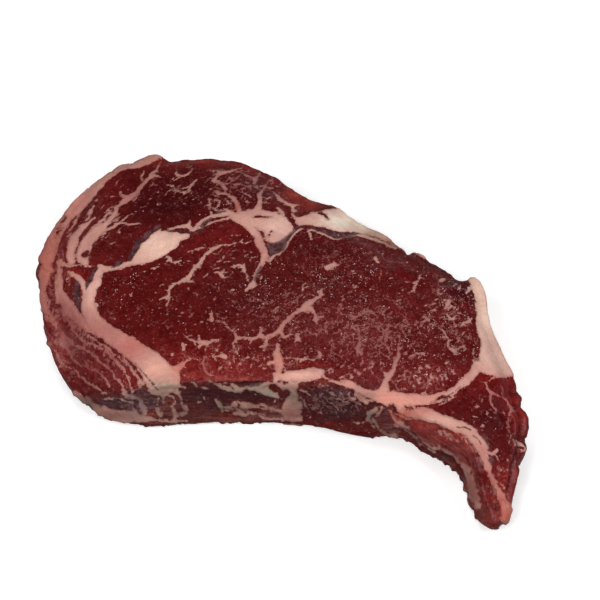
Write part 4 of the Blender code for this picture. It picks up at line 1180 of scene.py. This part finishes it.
def make_piece(name, points, quads, triangles, fields, places):
    """Mesh object from arrays, in metres, with one attribute for each field and one map."""
    mesh = bpy.data.meshes.new(name)
    place = np.empty_like(points)
    place[:, :2] = (points[:, :2] - PLAN_MIDDLE) * MM
    place[:, 2] = points[:, 2] * MM
    middle = (LOW + HIGH) / 2
    place += np.array((middle.x, middle.y, LOW.z))
    faces = [quads.ravel(), triangles.ravel()]
    sizes = np.concatenate((np.full(len(quads), 4), np.full(len(triangles), 3)))
    mesh.vertices.add(len(place))
    mesh.vertices.foreach_set("co", place.astype(np.float32).ravel())
    mesh.loops.add(int(sizes.sum()))
    mesh.loops.foreach_set("vertex_index", np.concatenate(faces).astype(np.int32))
    mesh.polygons.add(len(sizes))
    mesh.polygons.foreach_set("loop_start", np.concatenate(([0], np.cumsum(sizes)[:-1])).astype(np.int32))
    mesh.polygons.foreach_set("use_smooth", np.ones(len(sizes), dtype=bool))
    mesh.update(calc_edges=True)
    layer = mesh.uv_layers.new(name="OFBake")
    layer.data.foreach_set("uv", places.astype(np.float32).ravel())
    for field, values in fields.items():
        if values.ndim == 2:
            layer = mesh.color_attributes.new(field, "FLOAT_COLOR", "POINT")
            colour = np.column_stack((values, np.ones(len(values)))).astype(np.float32)
            layer.data.foreach_set("color", colour.ravel())
        else:
            layer = mesh.attributes.new(field, "FLOAT", "POINT")
            layer.data.foreach_set("value", values.astype(np.float32))
    piece = bpy.data.objects.new(name, mesh)
    bpy.context.scene.collection.objects.link(piece)
    return piece


# ---------------------------------------------------------------- shader node groups

def new_group(name, inputs, outputs):
    """Empty shader group with named float, vector or colour sockets."""
    group = bpy.data.node_groups.new(name, "ShaderNodeTree")
    kinds = {"f": "NodeSocketFloat", "v": "NodeSocketVector", "c": "NodeSocketColor"}
    for label, kind, value in inputs:
        socket = group.interface.new_socket(label, in_out="INPUT", socket_type=kinds[kind])
        if value is not None:
            socket.default_value = value
    for label, kind in outputs:
        group.interface.new_socket(label, in_out="OUTPUT", socket_type=kinds[kind])
    return group, Wiring(group)


class Wiring:
    """Short ways to add and join nodes in one tree."""

    def __init__(self, tree):
        self.tree = tree

    def node(self, kind, settings=None, **inputs):
        """Add a node, set its options and feed or set its inputs by name."""
        node = self.tree.nodes.new(kind)
        for key, value in (settings or {}).items():
            setattr(node, key, value)
        for key, value in inputs.items():
            self.feed(node.inputs[key.replace("_", " ")], value)
        return node

    def feed(self, socket, value):
        """Link an output socket to the input, or set the input's value."""
        if isinstance(value, bpy.types.NodeSocket):
            self.tree.links.new(value, socket)
        else:
            socket.default_value = value

    def sum(self, operation, *values, clamp=False):
        """Math node with its unnamed inputs in order."""
        node = self.tree.nodes.new("ShaderNodeMath")
        node.operation = operation
        node.use_clamp = clamp
        for socket, value in zip(node.inputs, values):
            self.feed(socket, value)
        return node.outputs[0]

    def vector(self, operation, first, second):
        """Vector math node with two inputs."""
        node = self.tree.nodes.new("ShaderNodeVectorMath")
        node.operation = operation
        self.feed(node.inputs[0], first)
        self.feed(node.inputs[1], second)
        return node.outputs[0]

    def ramp(self, value, low, high, out_low=0.0, out_high=1.0):
        """Smooth step of a value between two limits."""
        node = self.tree.nodes.new("ShaderNodeMapRange")
        node.interpolation_type = "SMOOTHSTEP"
        for label, number in (
            ("Value", value), ("From Min", low), ("From Max", high), ("To Min", out_low), ("To Max", out_high)):
            self.feed(node.inputs[label], number)
        return node.outputs["Result"]

    def mix(self, factor, first, second, blend="MIX"):
        """Mix two colours."""
        node = self.tree.nodes.new("ShaderNodeMix")
        node.data_type = "RGBA"
        node.blend_type = blend
        self.feed(node.inputs["Factor"], factor)
        self.feed(node.inputs[6], first)
        self.feed(node.inputs[7], second)
        return node.outputs[2]

    def noise(self, place, size, detail=2.0, roughness=0.5):
        """Noise whose lumps measure the given size in metres."""
        node = self.node("ShaderNodeTexNoise", Vector=place, Scale=1.0 / size, Detail=detail, Roughness=roughness)
        return node.outputs["Fac"]


def ragged_edge_group():
    """Turns a depth in mm into a crisp mask whose edge wanders by two noises, and its inside."""
    group, wire = new_group(
        "Ragged Edge",
        (("Depth", "f", 0.0), ("Place", "v", None), ("Wander", "f", 0.5), ("Softness", "f", 0.15)),
        (("Mask", "f"), ("Inside", "f")),
    )
    inputs = wire.node("NodeGroupInput").outputs
    outputs = wire.node("NodeGroupOutput").inputs
    coarse = wire.sum("SUBTRACT", wire.noise(inputs["Place"], 0.0017, 2.0, 0.6), 0.5)
    fine = wire.sum("SUBTRACT", wire.noise(inputs["Place"], 0.00055, 1.0, 0.5), 0.5)
    shift = wire.sum("ADD", wire.sum("MULTIPLY", coarse, 2.6), wire.sum("MULTIPLY", fine, 1.2))
    depth = wire.sum("ADD", inputs["Depth"], wire.sum("MULTIPLY", shift, inputs["Wander"]))
    low = wire.sum("MULTIPLY", inputs["Softness"], -1.0)
    wire.feed(outputs["Mask"], wire.ramp(depth, low, inputs["Softness"]))
    wire.feed(outputs["Inside"], wire.ramp(depth, 0.0, 1.1))
    return group


def warped(wire, place, size, reach):
    """The place moved about by a noise of that size, up to about half the reach."""
    colour = wire.node("ShaderNodeTexNoise", Vector=place, Scale=1.0 / size, Detail=2.0).outputs["Color"]
    offset = wire.vector("SUBTRACT", colour, (0.5, 0.5, 0.5))
    scaled = wire.node("ShaderNodeVectorMath", {"operation": "SCALE"}, Scale=reach)
    wire.feed(scaled.inputs[0], offset)
    return wire.vector("ADD", place, scaled.outputs[0])


def flecks_group():
    """Fine marbling: broken lines along warped cell borders at two sizes, and pale specks."""
    group, wire = new_group(
        "Marbling Flecks",
        (("Place", "v", None), ("Rate", "f", 0.5)),
        (("Lines", "f"), ("Specks", "f")),
    )
    inputs = wire.node("NodeGroupInput").outputs
    outputs = wire.node("NodeGroupOutput").inputs
    moved = warped(wire, inputs["Place"], 0.0022, 0.0034)
    lines = None
    for size, width, gate_size, opening in ((0.0042, 0.075, 0.0040, 0.66), (0.0021, 0.11, 0.0024, 0.68)):
        cells = wire.node(
            "ShaderNodeTexVoronoi", {"feature": "DISTANCE_TO_EDGE"}, Vector=moved, Scale=1.0 / size)
        line = wire.ramp(cells.outputs["Distance"], width, 0.25 * width)
        gate = wire.noise(inputs["Place"], gate_size, 2.0, 0.6)
        limit = wire.sum("SUBTRACT", opening, wire.sum("MULTIPLY", inputs["Rate"], 0.14))
        line = wire.sum("MULTIPLY", line, wire.ramp(wire.sum("SUBTRACT", gate, limit), -0.03, 0.05))
        lines = line if lines is None else wire.sum("MAXIMUM", lines, line)
    wire.feed(outputs["Lines"], lines)
    stirred = warped(wire, inputs["Place"], 0.0008, 0.0012)
    dots = wire.node("ShaderNodeTexVoronoi", Vector=stirred, Scale=1150.0)
    parts = wire.node("ShaderNodeSeparateColor", Color=dots.outputs["Color"]).outputs
    dot = wire.ramp(dots.outputs["Distance"], 0.42, 0.22)
    limit = wire.sum("SUBTRACT", 0.94, wire.sum("MULTIPLY", inputs["Rate"], 0.42))
    chosen = wire.ramp(wire.sum("SUBTRACT", parts[0], limit), 0.0, 0.05)
    strength = wire.sum("ADD", 0.35, wire.sum("MULTIPLY", parts[1], 0.65))
    wire.feed(outputs["Specks"], wire.sum("MULTIPLY", wire.sum("MULTIPLY", dot, chosen), strength))
    return group


def grain_group():
    """Raw muscle cut across: small uneven bundles under fine noise, with dark pits between them."""
    group, wire = new_group(
        "Muscle Grain",
        (("Place", "v", None), ("Bundle", "f", 0.0011)),
        (("Shade", "f"), ("Pits", "f"), ("Height", "f")),
    )
    inputs = wire.node("NodeGroupInput").outputs
    outputs = wire.node("NodeGroupOutput").inputs
    rate = wire.sum("DIVIDE", 1.0, inputs["Bundle"])
    cells = wire.node("ShaderNodeTexVoronoi", Vector=inputs["Place"], Scale=rate, Randomness=1.0)
    shade = wire.node("ShaderNodeSeparateColor", Color=cells.outputs["Color"]).outputs[1]
    fine = wire.noise(inputs["Place"], 0.0007, 2.0, 0.65)
    broad = wire.noise(inputs["Place"], 0.0052, 3.0, 0.6)
    total = wire.sum("ADD", wire.sum("MULTIPLY", shade, 0.25), wire.sum("MULTIPLY", fine, 1.0))
    total = wire.sum("ADD", total, wire.sum("MULTIPLY", broad, 0.9))
    wire.feed(outputs["Shade"], wire.ramp(total, 0.62, 1.7))
    pits = wire.noise(inputs["Place"], 0.0010, 2.0, 0.6)
    wire.feed(outputs["Pits"], wire.ramp(pits, 0.42, 0.34))
    height = wire.sum("ADD", wire.sum("MULTIPLY", cells.outputs["Distance"], -0.4), fine)
    wire.feed(outputs["Height"], height)
    return group


def fibres_group():
    """Fine threads along the layers: a noise quick across the layers and slow along them."""
    group, wire = new_group(
        "Layer Fibres",
        (("Place", "v", None), ("Layers", "f", 0.0), ("Spacing", "f", 1.0)),
        (("Threads", "f"), ("Bands", "f")),
    )
    inputs = wire.node("NodeGroupInput").outputs
    outputs = wire.node("NodeGroupOutput").inputs
    bend = wire.sum("MULTIPLY", wire.sum("SUBTRACT", wire.noise(inputs["Place"], 0.012, 2.0, 0.5), 0.5), 5.0)
    depth = wire.sum("DIVIDE", wire.sum("ADD", inputs["Layers"], bend), inputs["Spacing"])
    for label, slow, quick, low, high in (("Threads", 110.0, 1.0, 0.53, 0.63), ("Bands", 70.0, 0.3, 0.42, 0.62)):
        parts = wire.node("ShaderNodeSeparateXYZ", Vector=inputs["Place"]).outputs
        place = wire.node(
            "ShaderNodeCombineXYZ",
            X=wire.sum("MULTIPLY", parts["X"], slow),
            Y=wire.sum("MULTIPLY", parts["Y"], slow),
            Z=wire.sum("MULTIPLY", depth, quick))
        noise = wire.node("ShaderNodeTexNoise", Vector=place.outputs[0], Scale=1.0, Detail=2.0).outputs["Fac"]
        wire.feed(outputs[label], wire.ramp(noise, low, high))
    return group


def add_group(wire, group, **inputs):
    """Place a group in a material with its own values."""
    node = wire.tree.nodes.new("ShaderNodeGroup")
    node.node_tree = group
    for key, value in inputs.items():
        wire.feed(node.inputs[key], value)
    return node.outputs


def attribute(wire, name, colour=False):
    """Output of a named attribute."""
    node = wire.node("ShaderNodeAttribute", {"attribute_name": name})
    return node.outputs["Color" if colour else "Fac"]


def shade(colour):
    """Displayed 0 to 255 colour as a linear colour with alpha."""
    return (*linear(colour), 1.0)


def beef_material(groups, settings):
    """Wet raw beef: speckled lean, fat along the seams, threads, sunken sinew whose dark purple is partly painted
    shade, cracks painted dark as shade, and painted glint dots on the wet lean.
    """
    material = bpy.data.materials.new("raw_beef")
    material.use_nodes = True
    wire = Wiring(material.node_tree)
    shader = material.node_tree.nodes["Principled BSDF"]
    place = wire.node("ShaderNodeTexCoord").outputs["Object"]
    lean_colour = attribute(wire, "lean_colour", True)
    fat_colour = attribute(wire, "fat_colour", True)
    wet = wire.sum("MULTIPLY", attribute(wire, "wetness"), settings.wetness)
    marbling = wire.sum("MULTIPLY", attribute(wire, "marbling"), settings.marbling)
    fibrous = attribute(wire, "fibres")

    edge = add_group(
        wire, groups["edge"], Depth=attribute(wire, "fat_depth"), Place=place, Wander=0.5, Softness=0.2)
    sinew = add_group(
        wire, groups["edge"], Depth=attribute(wire, "sinew_depth"), Place=place, Wander=0.5, Softness=0.4)
    crack = add_group(
        wire, groups["edge"], Depth=attribute(wire, "crack_depth"), Place=place, Wander=0.35, Softness=0.2)
    grain = add_group(wire, groups["grain"], Place=place, Bundle=0.0011)
    flecks = add_group(wire, groups["flecks"], Place=place, Rate=wire.sum("ADD", 0.2, marbling))
    fibres = add_group(wire, groups["fibres"], Place=place, Layers=attribute(wire, "layers"), Spacing=0.62)

    dark = wire.mix(1.0, lean_colour, (0.55, 0.04, 0.06, 1.0), "MULTIPLY")
    bright = wire.mix(1.0, lean_colour, (1.50, 1.80, 1.75, 1.0), "MULTIPLY")
    lean = wire.mix(grain["Shade"], dark, bright)
    lean = wire.mix(wire.sum("MULTIPLY", grain["Pits"], 0.55), lean, dark)
    pale = wire.mix(0.55, lean_colour, shade((190, 132, 126)))
    thread = wire.sum("MULTIPLY", fibres["Threads"], fibrous)
    band = wire.sum("MULTIPLY", fibres["Bands"], fibrous)
    lean = wire.mix(wire.sum("MULTIPLY", band, 0.2), lean, pale)
    lean = wire.mix(wire.sum("MULTIPLY", thread, 0.7), lean, pale)
    strength = wire.sum("ADD", 0.32, wire.sum("MULTIPLY", marbling, 0.38))
    lean = wire.mix(wire.sum("MULTIPLY", flecks["Specks"], strength), lean, pale)
    lean = wire.mix(wire.sum("MULTIPLY", flecks["Lines"], strength), lean, pale)

    vein_colour = wire.mix(0.6, lean_colour, fat_colour)
    fat = wire.mix(edge["Inside"], vein_colour, fat_colour)
    blush = wire.ramp(wire.noise(place, 0.0034, 4.0, 0.65), 0.42, 0.72, 0.0, 0.4)
    fat = wire.mix(blush, fat, wire.mix(0.3, fat_colour, lean_colour))
    cream = wire.mix(1.0, fat_colour, (1.14, 1.17, 1.17, 1.0), "MULTIPLY")
    fat = wire.mix(wire.ramp(wire.noise(place, 0.0012, 3.0, 0.6), 0.5, 0.75, 0.0, 0.6), fat, cream)
    fat = wire.mix(wire.sum("MULTIPLY", fibres["Bands"], 0.26), fat, wire.mix(0.32, fat_colour, lean_colour))
    fat = wire.mix(wire.sum("MULTIPLY", thread, 0.5), fat, wire.mix(0.6, fat_colour, lean_colour))
    fat = wire.mix(wire.sum("MULTIPLY", grain["Pits"], 0.18), fat, wire.mix(0.6, fat_colour, lean_colour))

    skin = wire.mix(edge["Mask"], lean, fat)
    # Sinew: purple-grey gristle, its dark end partly painted shade of the gap it lies in.
    gristle_and_gap_shade = wire.mix(wire.ramp(wire.noise(place, 0.0022, 3.0, 0.6), 0.4, 0.64), shade((62, 34, 38)), shade((98, 66, 68)))
    skin = wire.mix(wire.sum("MULTIPLY", sinew["Mask"], 0.88), skin, gristle_and_gap_shade)
    # Cracks, creases and slits painted dark: painted shade in the recesses, which the relief and the bump also sink.
    skin = wire.mix(wire.sum("MULTIPLY", crack["Mask"], 0.75), skin, shade((54, 18, 18)))

    # Painted glints: small near-white dots in the base colour, clumped on the wet lean, standing in for wet highlights.
    cells = wire.node("ShaderNodeTexVoronoi", Vector=warped(wire, place, 0.001, 0.0016), Scale=1400.0)
    dot = wire.ramp(cells.outputs["Distance"], 0.36, 0.18)
    pick = wire.node("ShaderNodeSeparateColor", Color=cells.outputs["Color"]).outputs[2]
    clump = wire.ramp(wire.noise(place, 0.0042, 2.0, 0.6), 0.44, 0.6, 0.06, 0.3)
    chosen = wire.ramp(wire.sum("ADD", pick, wire.sum("MULTIPLY", wet, clump)), 0.985, 1.0)
    sparkle = wire.sum("MULTIPLY", wire.sum("MULTIPLY", dot, chosen), wire.sum("SUBTRACT", 1.0, edge["Mask"]))
    skin = wire.mix(wire.sum("MULTIPLY", sparkle, 0.8), skin, shade((238, 210, 208)))
    wire.feed(shader.inputs["Base Color"], skin)

    rough = wire.ramp(wire.noise(place, 0.0016, 3.0, 0.6), 0.3, 0.7, 0.24, 0.40)
    wire.feed(shader.inputs["Roughness"], wire.sum("ADD", rough, wire.sum("MULTIPLY", wet, -0.08)))
    wire.feed(shader.inputs["Coat Weight"], wire.sum("MULTIPLY", wet, 0.2))
    shader.inputs["Coat Roughness"].default_value = 0.2
    shader.inputs["Specular IOR Level"].default_value = 0.16
    shader.inputs["Subsurface Weight"].default_value = 0.06
    shader.inputs["Subsurface Radius"].default_value = (1.0, 0.4, 0.3)
    shader.inputs["Subsurface Scale"].default_value = 0.001

    height = wire.sum("ADD", wire.sum("MULTIPLY", grain["Height"], 0.6), wire.sum("MULTIPLY", edge["Mask"], 0.35))
    height = wire.sum("ADD", height, wire.sum("MULTIPLY", flecks["Lines"], 0.2))
    height = wire.sum("ADD", height, wire.sum("MULTIPLY", thread, 0.35))
    lumps = wire.sum("MULTIPLY", wire.noise(place, 0.0024, 3.0, 0.6), edge["Mask"])
    height = wire.sum("ADD", height, wire.sum("MULTIPLY", lumps, 1.3))
    height = wire.sum("SUBTRACT", height, wire.sum("MULTIPLY", crack["Mask"], 0.8))
    bump = wire.node("ShaderNodeBump", Strength=0.35, Distance=0.0005, Height=height)
    wire.feed(shader.inputs["Normal"], bump.outputs["Normal"])
    return material


def floor_material(colour):
    """Plain pale table top with the faintest mottling, greyer in what it throws back on the meat."""
    material = bpy.data.materials.new("pale_table")
    material.use_nodes = True
    wire = Wiring(material.node_tree)
    shader = material.node_tree.nodes["Principled BSDF"]
    place = wire.node("ShaderNodeTexCoord").outputs["Object"]
    mottling = wire.noise(place, 0.05, 2.0, 0.5)
    pale = wire.mix(mottling, (*[0.98 * c for c in colour], 1.0), (*colour, 1.0))
    thrown = wire.mix(1.0, pale, (0.26, 0.25, 0.24, 1.0), "MULTIPLY")
    seen = wire.node("ShaderNodeLightPath").outputs["Is Camera Ray"]
    wire.feed(shader.inputs["Base Color"], wire.mix(seen, thrown, pale))
    wire.feed(shader.inputs["Emission Color"], pale)
    wire.feed(shader.inputs["Emission Strength"], wire.sum("MULTIPLY", seen, 0.3))
    shader.inputs["Roughness"].default_value = 0.9
    shader.inputs["Specular IOR Level"].default_value = 0.1
    return material


# ---------------------------------------------------------------- settings

class RibeyeSteakSettings(PropertyGroup):
    """Colours, amounts of finish and resolution of the steak's surface."""

    lean_colour: FloatVectorProperty(
        name="Lean", description="Colour of the plain lean; its paler and darker places keep their ratio",
        subtype="COLOR", default=linear(BASE_LEAN))
    fat_colour: FloatVectorProperty(
        name="Fat", description="Colour of the plain fat; its paler and darker places keep their ratio",
        subtype="COLOR", default=linear(BASE_FAT))
    marbling: FloatProperty(
        name="Marbling", description="Amount of fine flecks in the lean", subtype="FACTOR",
        default=1.0, min=0.0, max=1.5)
    wetness: FloatProperty(
        name="Wetness", description="Gloss and sparkle of the wet places", subtype="FACTOR",
        default=1.0, min=0.0, max=1.0)
    cells_long: IntProperty(name="Cells Long", description="Cells along the cut face", default=360, min=40)
    cells_wide: IntProperty(name="Cells Wide", description="Cells across the cut face", default=150, min=20)
    side_rows: IntProperty(name="Side Rows", description="Rows of cells down the side", default=28, min=6)


class RibeyeStageSettings(PropertyGroup):
    """Floor, light and camera."""

    floor_colour: FloatVectorProperty(
        name="Floor", description="Colour of the table top", subtype="COLOR", default=(0.95, 0.95, 0.95))
    exposure: FloatProperty(
        name="Exposure", description="Light on a level face, where 1 shows a colour as it is", default=1.0)
    sky_strength: FloatProperty(name="Sky", description="Light from the even surround", default=0.10)
    elevation: FloatProperty(
        name="Elevation", description="Camera's angle above the table", subtype="ANGLE",
        default=np.radians(52.0))
    distance: FloatProperty(
        name="Distance", description="Camera's distance from the cut face", unit="LENGTH", default=0.45)
    lens: FloatProperty(name="Lens", description="Focal length in millimetres", default=65.0)


# ---------------------------------------------------------------- operators

class RIBEYE_OT_steak(Operator):
    """Build the steak's closed surface with its seams and give it the raw beef finish"""

    bl_idname = "ribeye.steak"
    bl_label = "Build Steak"

    def execute(self, context):
        settings = context.scene.ribeye_steak
        cells = settings.cells_long, settings.cells_wide, settings.side_rows
        points, quads, triangles, part, surface = closed_body(*cells)
        normals = point_normals(points, quads, triangles)
        rim = rim_distance(surface)
        inward = np.where(part == 2, step_between(0.0, 15.0, rim), 0.0)
        seams = seam_place(points, normals, inward)
        fields = seam_fields(points, seams, part, rim, settings)
        points = points + normals * relief(points, seams, fields, part)[:, None]
        points[:, 2] = np.maximum(points[:, 2], 0.0)
        places = unwrap(points, quads, triangles, part, *cells)
        steak = make_piece("steak_meat", points, quads, triangles, fields, places)
        groups = {
            "edge": ragged_edge_group(),
            "flecks": flecks_group(),
            "grain": grain_group(),
            "fibres": fibres_group(),
        }
        steak.data.materials.append(beef_material(groups, settings))
        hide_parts(NODE)
        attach(steak, "root")
        return {"FINISHED"}


class RIBEYE_OT_stage(Operator):
    """Set the pale table, the soft lights and the camera"""

    bl_idname = "ribeye.stage"
    bl_label = "Set Stage"

    def execute(self, context):
        settings = context.scene.ribeye_stage
        set_floor(settings)
        set_lights(settings)
        set_camera(settings)
        return {"FINISHED"}


def set_floor(settings):
    """Large square table top just under the steak."""
    mesh = bpy.data.meshes.new("table_top")
    half = 3.0
    mesh.from_pydata([(-half, -half, 0), (half, -half, 0), (half, half, 0), (-half, half, 0)], [], [(0, 1, 2, 3)])
    mesh.transform(Matrix.Translation((0, 0, LOW.z - 0.0002)))
    mesh.materials.append(floor_material(settings.floor_colour))
    floor = bpy.data.objects.new("table_top", mesh)
    bpy.context.scene.collection.objects.link(floor)


def set_lights(settings):
    """Four large soft lights, a small low one behind, and a dim surround that looks white.

    The light overhead gives no reflections, because it would veil the wet face.
    """
    scene = bpy.context.scene
    world = bpy.data.worlds.new("white_surround")
    world.use_nodes = True
    wire = Wiring(world.node_tree)
    background = world.node_tree.nodes["Background"]
    background.inputs["Color"].default_value = (1.0, 1.0, 1.0, 1.0)
    seen = wire.node("ShaderNodeLightPath").outputs["Is Camera Ray"]
    wire.feed(background.inputs["Strength"], wire.ramp(seen, 0.0, 1.0, settings.sky_strength, 1.0))
    scene.world = world
    aim = Vector((0.0, 0.0, HIGH.z))
    for name, place, size, share, glossy in (
        ("key_light", (-0.50, -0.42, 0.75), 0.5, 0.42, True),
        ("fill_light", (0.70, -0.10, 0.60), 0.5, 0.30, True),
        ("top_light", (-0.10, 0.26, 0.90), 0.4, 0.22, False),
        ("front_light", (0.05, -0.85, 0.32), 0.5, 0.10, True),
        ("back_light", (0.20, 0.80, 0.50), 0.12, 0.02, True),
    ):
        light = bpy.data.lights.new(name, "AREA")
        light.shape = "DISK"
        light.size = size
        direction = aim - Vector(place)
        facing = -direction.normalized().z
        light.energy = settings.exposure * share * np.pi**2 * direction.length_squared / facing
        lamp = bpy.data.objects.new(name, light)
        lamp.location = place
        lamp.rotation_euler = direction.to_track_quat("-Z", "Y").to_euler()
        lamp.visible_glossy = glossy
        scene.collection.objects.link(lamp)
    scene.view_settings.view_transform = "Standard"


def set_camera(settings):
    """Camera in front of and above the steak, aimed at the plan's own origin on the cut face."""
    middle = (LOW + HIGH) / 2
    aim = np.array((middle.x - PLAN_MIDDLE[0] * MM, middle.y - PLAN_MIDDLE[1] * MM, HIGH.z))
    back = np.array((0.0, -np.cos(settings.elevation), np.sin(settings.elevation)))
    data = bpy.data.cameras.new("camera")
    data.lens = settings.lens
    data.sensor_width = 36.0
    data.clip_start = 0.01
    camera = bpy.data.objects.new("camera", data)
    camera.location = aim + settings.distance * back
    camera.rotation_euler = (np.pi / 2 - settings.elevation, 0.0, 0.0)
    bpy.context.scene.collection.objects.link(camera)
    bpy.context.scene.camera = camera


class RIBEYE_PT_panel(Panel):
    """Sidebar panel with the steak's settings and build steps"""

    bl_label = "Raw Ribeye Steak"
    bl_idname = "RIBEYE_PT_panel"
    bl_space_type = "VIEW_3D"
    bl_region_type = "UI"
    bl_category = "Ribeye"

    def draw(self, context):
        for settings, step in (("ribeye_steak", "ribeye.steak"), ("ribeye_stage", "ribeye.stage")):
            box = self.layout.box()
            group = getattr(context.scene, settings)
            for name in group.__annotations__:
                box.prop(group, name)
            box.operator(step)


CLASSES = (RibeyeSteakSettings, RibeyeStageSettings, RIBEYE_OT_steak, RIBEYE_OT_stage, RIBEYE_PT_panel)


def register():
    """Register the classes and hang their settings on the scene."""
    for item in CLASSES:
        bpy.utils.register_class(item)
    bpy.types.Scene.ribeye_steak = PointerProperty(type=RibeyeSteakSettings)
    bpy.types.Scene.ribeye_stage = PointerProperty(type=RibeyeStageSettings)


def unregister():
    """Take the settings and classes away again."""
    del bpy.types.Scene.ribeye_stage
    del bpy.types.Scene.ribeye_steak
    for item in reversed(CLASSES):
        bpy.utils.unregister_class(item)


def main():
    """Register and run the steps in order."""
    register()
    bpy.ops.ribeye.steak()
    bpy.ops.ribeye.stage()


if __name__ == "__main__":
    main()
